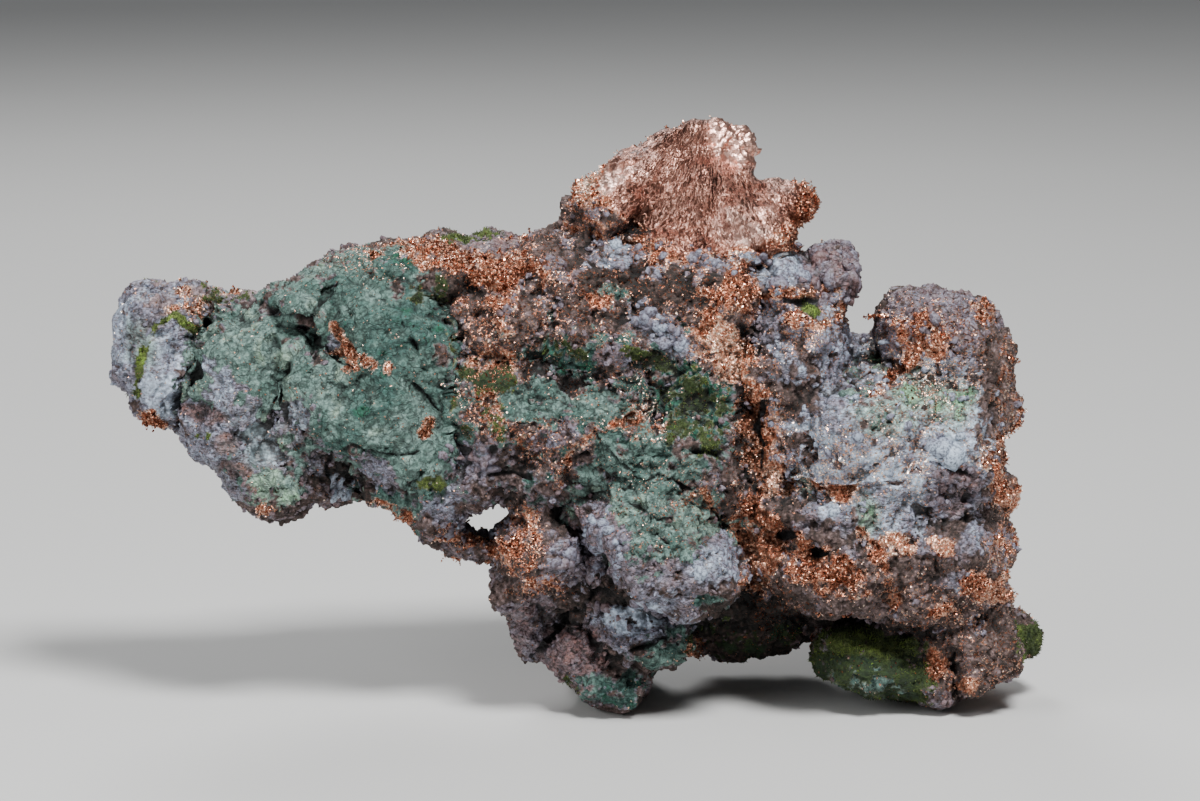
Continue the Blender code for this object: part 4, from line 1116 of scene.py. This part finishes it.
def unit_vectors(random, count):
    """A number of random directions, every one as likely as another."""
    vectors = random.normal(size=(count, 3))
    return vectors / np.linalg.norm(vectors, axis=1, keepdims=True)


def turned_frames(random, outward):
    """Three directions at right angles for each outward one: two across it, turned at random."""
    across = np.cross(outward, unit_vectors(random, len(outward)))
    across /= np.linalg.norm(across, axis=1, keepdims=True)
    return np.stack([across, np.cross(outward, across), outward], axis=1)


def arrays_of(shape):
    """The corners and faces of a small shape as arrays, and the shape is given up."""
    corners = np.array([v.co for v in shape.verts])
    faces = np.array([[v.index for v in f.verts] for f in shape.faces])
    shape.free()
    return corners, faces


def ball():
    """A ball of radius 1 with twenty equal faces."""
    shape = bmesh.new()
    bmesh.ops.create_icosphere(shape, subdivisions=1, radius=1.0)
    return arrays_of(shape)


def lump():
    """A cube with four faces on each side, rounded: each corner goes to a distance of 1."""
    shape = bmesh.new()
    bmesh.ops.create_cube(shape, size=2.0)
    bmesh.ops.subdivide_edges(shape, edges=shape.edges[:], cuts=1, use_grid_fill=True)
    corners, faces = arrays_of(shape)
    return corners / np.linalg.norm(corners, axis=1, keepdims=True), faces


def scattered(corners, faces, centres, frames, sizes, random, uneven):
    """One mesh of many copies of a shape: its corners, each moved at random by a share of the
    size, times the sizes, along each copy's three directions, plus its centre."""
    count = len(centres)
    shapes = corners[None] + random.normal(size=(count, len(corners), 3)) * uneven
    placed = np.einsum("nci,nij->ncj", shapes * sizes[:, None, :], frames) + centres[:, None, :]
    first = np.arange(count)[:, None, None] * len(corners)
    mesh = bpy.data.meshes.new("scattered")
    mesh.from_pydata((placed.reshape(-1, 3) * MM).astype(np.float32), [],
                     (faces[None] + first).reshape(-1, faces.shape[1]))
    mesh.update()
    return mesh


def chosen(random, likelihood, count):
    """Which points are chosen, each as likely as its likelihood says, with none twice."""
    weights = likelihood / likelihood.sum()
    return random.choice(len(likelihood), size=count, replace=False, p=weights)


def copper_likelihood(points, values):
    """Where tufts of copper are likely: in patches, on copper that stands out, and clear of the
    floor, the crest's folds and the cracks."""
    standing = 1 - ramped(values["hollow_far"], 0.05, 0.6)
    share = values["copper_share"] * 0.5 + values["copper"]
    likelihood = share ** 3 * (0.03 + standing) * (1 - values["fan"])
    likelihood = likelihood * (points[:, 2] > COPPER_FROM) * (1 - values["crack"])
    return likelihood * ramped(noise(points / 1.6, 91), -0.25, 0.25)


class SkinSettings(bpy.types.PropertyGroup):
    """How fine the skin is."""
    step: bpy.props.FloatProperty(name="Step", description="Size of the skin's grid", subtype="DISTANCE",
                                  unit="LENGTH", default=0.22 * MM, min=0.1 * MM, precision=5)


class GrainSettings(bpy.types.PropertyGroup):
    """The loose grains that stand on the skin."""
    copper: bpy.props.IntProperty(name="Copper tufts", description="Number of tufts of copper grains",
                                  default=4800, min=1)
    copper_size: bpy.props.FloatProperty(name="Copper size", description="Middle radius of a copper grain",
                                         subtype="DISTANCE", unit="LENGTH", default=0.09 * MM, precision=5)
    quartz: bpy.props.IntProperty(name="Quartz crumbs", description="Number of quartz crumbs",
                                  default=3600, min=1)
    quartz_size: bpy.props.FloatProperty(name="Quartz size", description="Middle radius of a quartz crumb",
                                         subtype="DISTANCE", unit="LENGTH", default=0.28 * MM, precision=5)
    moss: bpy.props.IntProperty(name="Moss leaves", description="Number of moss leaves", default=12000,
                                min=1)


class StageSettings(bpy.types.PropertyGroup):
    """The floor, the lights and the camera."""
    floor: bpy.props.FloatVectorProperty(name="Floor", description="Colour of the floor",
                                         subtype="COLOR", default=(0.62, 0.62, 0.61))
    lens: bpy.props.FloatProperty(name="Lens", description="Focal length", subtype="DISTANCE_CAMERA",
                                  unit="CAMERA", default=150.0)
    key: bpy.props.FloatProperty(name="Key light", description="Power of the key light", unit="POWER",
                                 default=4.4)
    fill: bpy.props.FloatProperty(name="Fill light", description="Power of the fill and rim lights",
                                  unit="POWER", default=1.3)


class NUGGET_OT_skin(bpy.types.Operator):
    """Builds the rough skin of the nugget, in parts that meet inside it"""
    bl_idname = "nugget.skin"
    bl_label = "Skin"

    def execute(self, context):
        whole = skin_mesh(context.scene.nugget_skin.step)
        whole.shade_smooth()
        material = skin_finish()
        along, up = (1, 0, 0), (0, 0, 1)
        left, rest = halves(whole, (ARM_END, 0, 0), along)
        centre, right = halves(rest, (BLOCK_START, 0, 0), along)
        below, crest = halves(centre, (0, 0, CREST_START), up)
        parts = (*halves(left, (ARM_MIDDLE, 0, 0), along), crest,
                 *reversed(halves(below, (0, 0, BOULDERS_END), up)),
                 *reversed(halves(right, (0, 0, BLOCK_MIDDLE), up)))
        for name, mesh in zip(SKIN_PARTS, parts):
            keep_shading(mesh)
            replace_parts(show(name, mesh, material), "nugget")
        return {"FINISHED"}


class NUGGET_OT_copper_grains(bpy.types.Operator):
    """Grows tufts of bright copper grains on the skin where it is copper"""
    bl_idname = "nugget.copper_grains"
    bl_label = "Copper grains"

    def execute(self, context):
        settings = context.scene.nugget_grains
        random = np.random.RandomState(COPPER_SEED)
        points, normals, values = skin_points()
        pick = chosen(random, copper_likelihood(points, values), settings.copper)
        # A tuft is a chain of grains that leans out of the skin, each smaller and brighter: painted light
        # on the outer grains and painted shade at the root.
        outward = normals[pick] + unit_vectors(random, len(pick)) * 0.8
        radius = settings.copper_size / MM * np.exp(random.normal(size=len(pick)) * 0.3)
        centres = [points[pick] + (outward * 1.1 * link + unit_vectors(random, len(pick)) * 0.5)
                   * radius[:, None] for link in range(TUFT_LINKS)]
        # The sprig is a row of grains from the skin's point nearest to its root.
        near_root = np.linalg.norm(seen(points) - SPRIG_ROOT, axis=1) + 0.1 * points[:, 1]
        stem = np.linspace(0, 1, SPRIG_GRAINS)
        sprig = points[near_root.argmin()] + stem[:, None] * SPRIG_WAY
        sprig = sprig + unit_vectors(random, SPRIG_GRAINS) * 0.12
        # Grains in hollows get a darker tone, as painted shade, and each link further out a lighter one,
        # as painted light.
        tone = 0.55 * values["tone"][pick] - 0.02 - 0.35 * ramped(values["hollow_near"][pick], 0.3, 0.9)
        tone = tone + 0.2 * random.normal(size=len(pick))
        tones = [tone + 0.24 * link for link in range(TUFT_LINKS)]
        radii = [radius * 0.85 ** link for link in range(TUFT_LINKS)]
        centres = np.concatenate([*centres, sprig])
        tone = np.concatenate([*tones, random.uniform(0.3, 0.8, SPRIG_GRAINS)])
        radius = np.concatenate([*radii, SPRIG_RADIUS - SPRIG_LOSS * stem])
        sizes = radius[:, None] * np.exp(random.normal(size=(len(radius), 3)) * 0.35)
        frames = turned_frames(random, unit_vectors(random, len(radius)))
        material = copper_finish()
        left = centres[:, 0] < GRAINS_MIDDLE
        for name, here in (("copper_grains_left", left), ("copper_grains_right", ~left)):
            mesh = scattered(*ball(), centres[here], frames[here], sizes[here], random, uneven=0.28)
            put_attribute(mesh, "tone", np.repeat(tone[here], len(mesh.vertices) // here.sum()))
            show(name, mesh, material)
        return {"FINISHED"}


class NUGGET_OT_quartz_crumbs(bpy.types.Operator):
    """Beds broken crumbs of quartz in the skin where it is quartz"""
    bl_idname = "nugget.quartz_crumbs"
    bl_label = "Quartz crumbs"

    def execute(self, context):
        settings = context.scene.nugget_grains
        random = np.random.RandomState(CRUMB_SEED)
        points, normals, values = skin_points()
        likelihood = values["quartz"] * (points[:, 2] > CRUMBS_FROM)
        likelihood = likelihood * (0.04 + ramped(values["tone"], 0.72, 0.5))
        pick = chosen(random, likelihood * (1 - values["crack"]), settings.quartz)
        sizes = settings.quartz_size / MM * np.exp(random.normal(size=(len(pick), 3)) * 0.3)
        frames = turned_frames(random, unit_vectors(random, len(pick)))
        centres = points[pick] - normals[pick] * sizes.mean(axis=1)[:, None] * 0.35
        mesh = scattered(*ball(), centres, frames, sizes, random, uneven=0.16)
        put_attribute(mesh, "tone", np.repeat(values["tone"][pick], len(mesh.vertices) // len(pick)))
        show("quartz_crumbs", mesh, quartz_finish())
        return {"FINISHED"}


class NUGGET_OT_quartz_nubs(bpy.types.Operator):
    """Sets round nubs of quartz in clusters on the front of the skin"""
    bl_idname = "nugget.quartz_nubs"
    bl_label = "Quartz nubs"

    def execute(self, context):
        random = np.random.RandomState(NUB_SEED)
        points, normals, values = skin_points()
        places = seen(points)
        in_front = (normals @ EYE_BACK > 0.15) * (values["hollow_far"] < 0.8)
        in_front = in_front * (points[:, 2] > NUBS_FROM)
        picks, radii, tones = [], [], []
        for count, radius, tone, u, v, wide, high, *turn in NUBS.values():
            inside = reach_in(places, (u, v), (wide, high), *turn) < 1
            picks.append(chosen(random, (inside * in_front).astype(float), count))
            radii.append(radius * np.exp(random.normal(size=count) * 0.25))
            tones.append(tone + random.normal(size=count) * 0.08)
        pick, radius, tone = (np.concatenate(parts) for parts in (picks, radii, tones))
        sizes = radius[:, None] * np.exp(random.normal(size=(len(pick), 3)) * 0.28)
        frames = turned_frames(random, unit_vectors(random, len(pick)))
        centres = points[pick] - normals[pick] * radius[:, None] * 0.6
        mesh = scattered(*lump(), centres, frames, sizes, random, uneven=0.0)
        shaped = points_of(mesh)
        chips = 0.8 * broken(shaped, 0.55, 95, lean=1.0, step=0.35) + 0.06 * noise(shaped / 0.25, 96)
        put_points(mesh, shaped + normals_of(mesh) * chips[:, None])
        put_attribute(mesh, "tone", np.repeat(tone, len(shaped) // len(pick)))
        mesh.shade_smooth()
        show("quartz_nubs", mesh, quartz_finish())
        return {"FINISHED"}


class NUGGET_OT_moss(bpy.types.Operator):
    """Grows short moss leaves where the skin is moss"""
    bl_idname = "nugget.moss"
    bl_label = "Moss"

    def execute(self, context):
        settings = context.scene.nugget_grains
        random = np.random.RandomState(MOSS_SEED)
        points, normals, values = skin_points()
        likelihood = values["moss"] * (points[:, 2] > MOSS_FROM)
        likelihood = likelihood * np.clip(values["tone"] - 0.2, 0.02, 1.0)
        pick = chosen(random, likelihood, min(settings.moss, int((likelihood > 0).sum())))
        leaf = np.array(((-0.5, 0.0, 0.0), (0.5, 0.0, 0.0), (0.0, 0.6, 0.3), (0.1, 0.2, 2.2)))
        faces = np.array(((0, 2, 1), (0, 1, 3), (1, 2, 3), (2, 0, 3)))
        lean = normals[pick] + unit_vectors(random, len(pick)) * 0.7
        lean /= np.linalg.norm(lean, axis=1, keepdims=True)
        sizes = np.full((len(pick), 3), MOSS_SIZE) * random.uniform(0.6, 1.5, size=(len(pick), 1))
        centres = points[pick] - normals[pick] * 0.03
        frames = turned_frames(random, lean)
        mesh = scattered(leaf, faces, centres, frames, sizes, random, uneven=0.1)
        show("moss", mesh, moss_finish())
        return {"FINISHED"}


class NUGGET_OT_stage(bpy.types.Operator):
    """Lays the pale floor, hangs the soft lights and sets the camera"""
    bl_idname = "nugget.stage"
    bl_label = "Stage"

    def execute(self, context):
        settings = context.scene.nugget_stage
        mesh = bpy.data.meshes.new("floor")
        corners = [(x * HALF_FLOOR, y * HALF_FLOOR, 0) for x, y in ((-1, -1), (1, -1), (1, 1), (-1, 1))]
        mesh.from_pydata(corners, [], [(0, 1, 2, 3)])
        mesh.materials.append(floor_finish(settings.floor))
        floor = bpy.data.objects.new("floor", mesh)
        context.scene.collection.objects.link(floor)
        world = bpy.data.worlds.new("studio")
        world.use_nodes = True
        world.node_tree.nodes["Background"].inputs["Color"].default_value = SKY
        world.node_tree.nodes["Background"].inputs["Strength"].default_value = SKY_STRENGTH
        context.scene.world = world
        target = Vector(LOOKED_AT) * MM
        for name, power in (("key", settings.key), ("fill", settings.fill), ("rim", settings.fill)):
            self.light(name, target, *LAMPS[name], power)
        lens = bpy.data.cameras.new("camera")
        lens.lens = settings.lens
        lens.clip_start = 0.01
        camera = bpy.data.objects.new("camera", lens)
        back = Vector(EYE_BACK)
        camera.location = target + back * EYE_DISTANCE * MM
        camera.rotation_euler = (-back).to_track_quat("-Z", "Y").to_euler()
        context.scene.collection.objects.link(camera)
        context.scene.camera = camera
        return {"FINISHED"}

    def light(self, name, target, place, size, power):
        """Hangs a square lamp at a place from the target, and turns it to the target."""
        lamp = bpy.data.lights.new(name, "AREA")
        lamp.size = size
        lamp.energy = power
        light = bpy.data.objects.new(name, lamp)
        light.location = target + Vector(place)
        light.rotation_euler = (-Vector(place)).to_track_quat("-Z", "Y").to_euler()
        bpy.context.scene.collection.objects.link(light)


class NUGGET_PT_panel(bpy.types.Panel):
    """Lists the nugget's pieces and settings"""
    bl_idname = "NUGGET_PT_panel"
    bl_label = "Native Copper Nugget"
    bl_space_type = "VIEW_3D"
    bl_region_type = "UI"
    bl_category = "Nugget"

    def draw(self, context):
        scene = context.scene
        for settings in (scene.nugget_skin, scene.nugget_grains, scene.nugget_stage):
            for name in settings.__annotations__:
                self.layout.prop(settings, name)
        for operator in OPERATORS:
            self.layout.operator(operator.bl_idname)


OPERATORS = (NUGGET_OT_skin, NUGGET_OT_copper_grains, NUGGET_OT_quartz_crumbs, NUGGET_OT_quartz_nubs,
             NUGGET_OT_moss, NUGGET_OT_stage)
CLASSES = (SkinSettings, GrainSettings, StageSettings, *OPERATORS, NUGGET_PT_panel)


def register():
    for cls in CLASSES:
        bpy.utils.register_class(cls)
    bpy.types.Scene.nugget_skin = bpy.props.PointerProperty(type=SkinSettings)
    bpy.types.Scene.nugget_grains = bpy.props.PointerProperty(type=GrainSettings)
    bpy.types.Scene.nugget_stage = bpy.props.PointerProperty(type=StageSettings)


def unregister():
    del bpy.types.Scene.nugget_skin
    del bpy.types.Scene.nugget_grains
    del bpy.types.Scene.nugget_stage
    for cls in reversed(CLASSES):
        bpy.utils.unregister_class(cls)


def main():
    register()
    bpy.ops.nugget.skin()
    bpy.ops.nugget.copper_grains()
    bpy.ops.nugget.quartz_crumbs()
    bpy.ops.nugget.quartz_nubs()
    bpy.ops.nugget.moss()
    bpy.ops.nugget.stage()


if __name__ == "__main__":
    main()
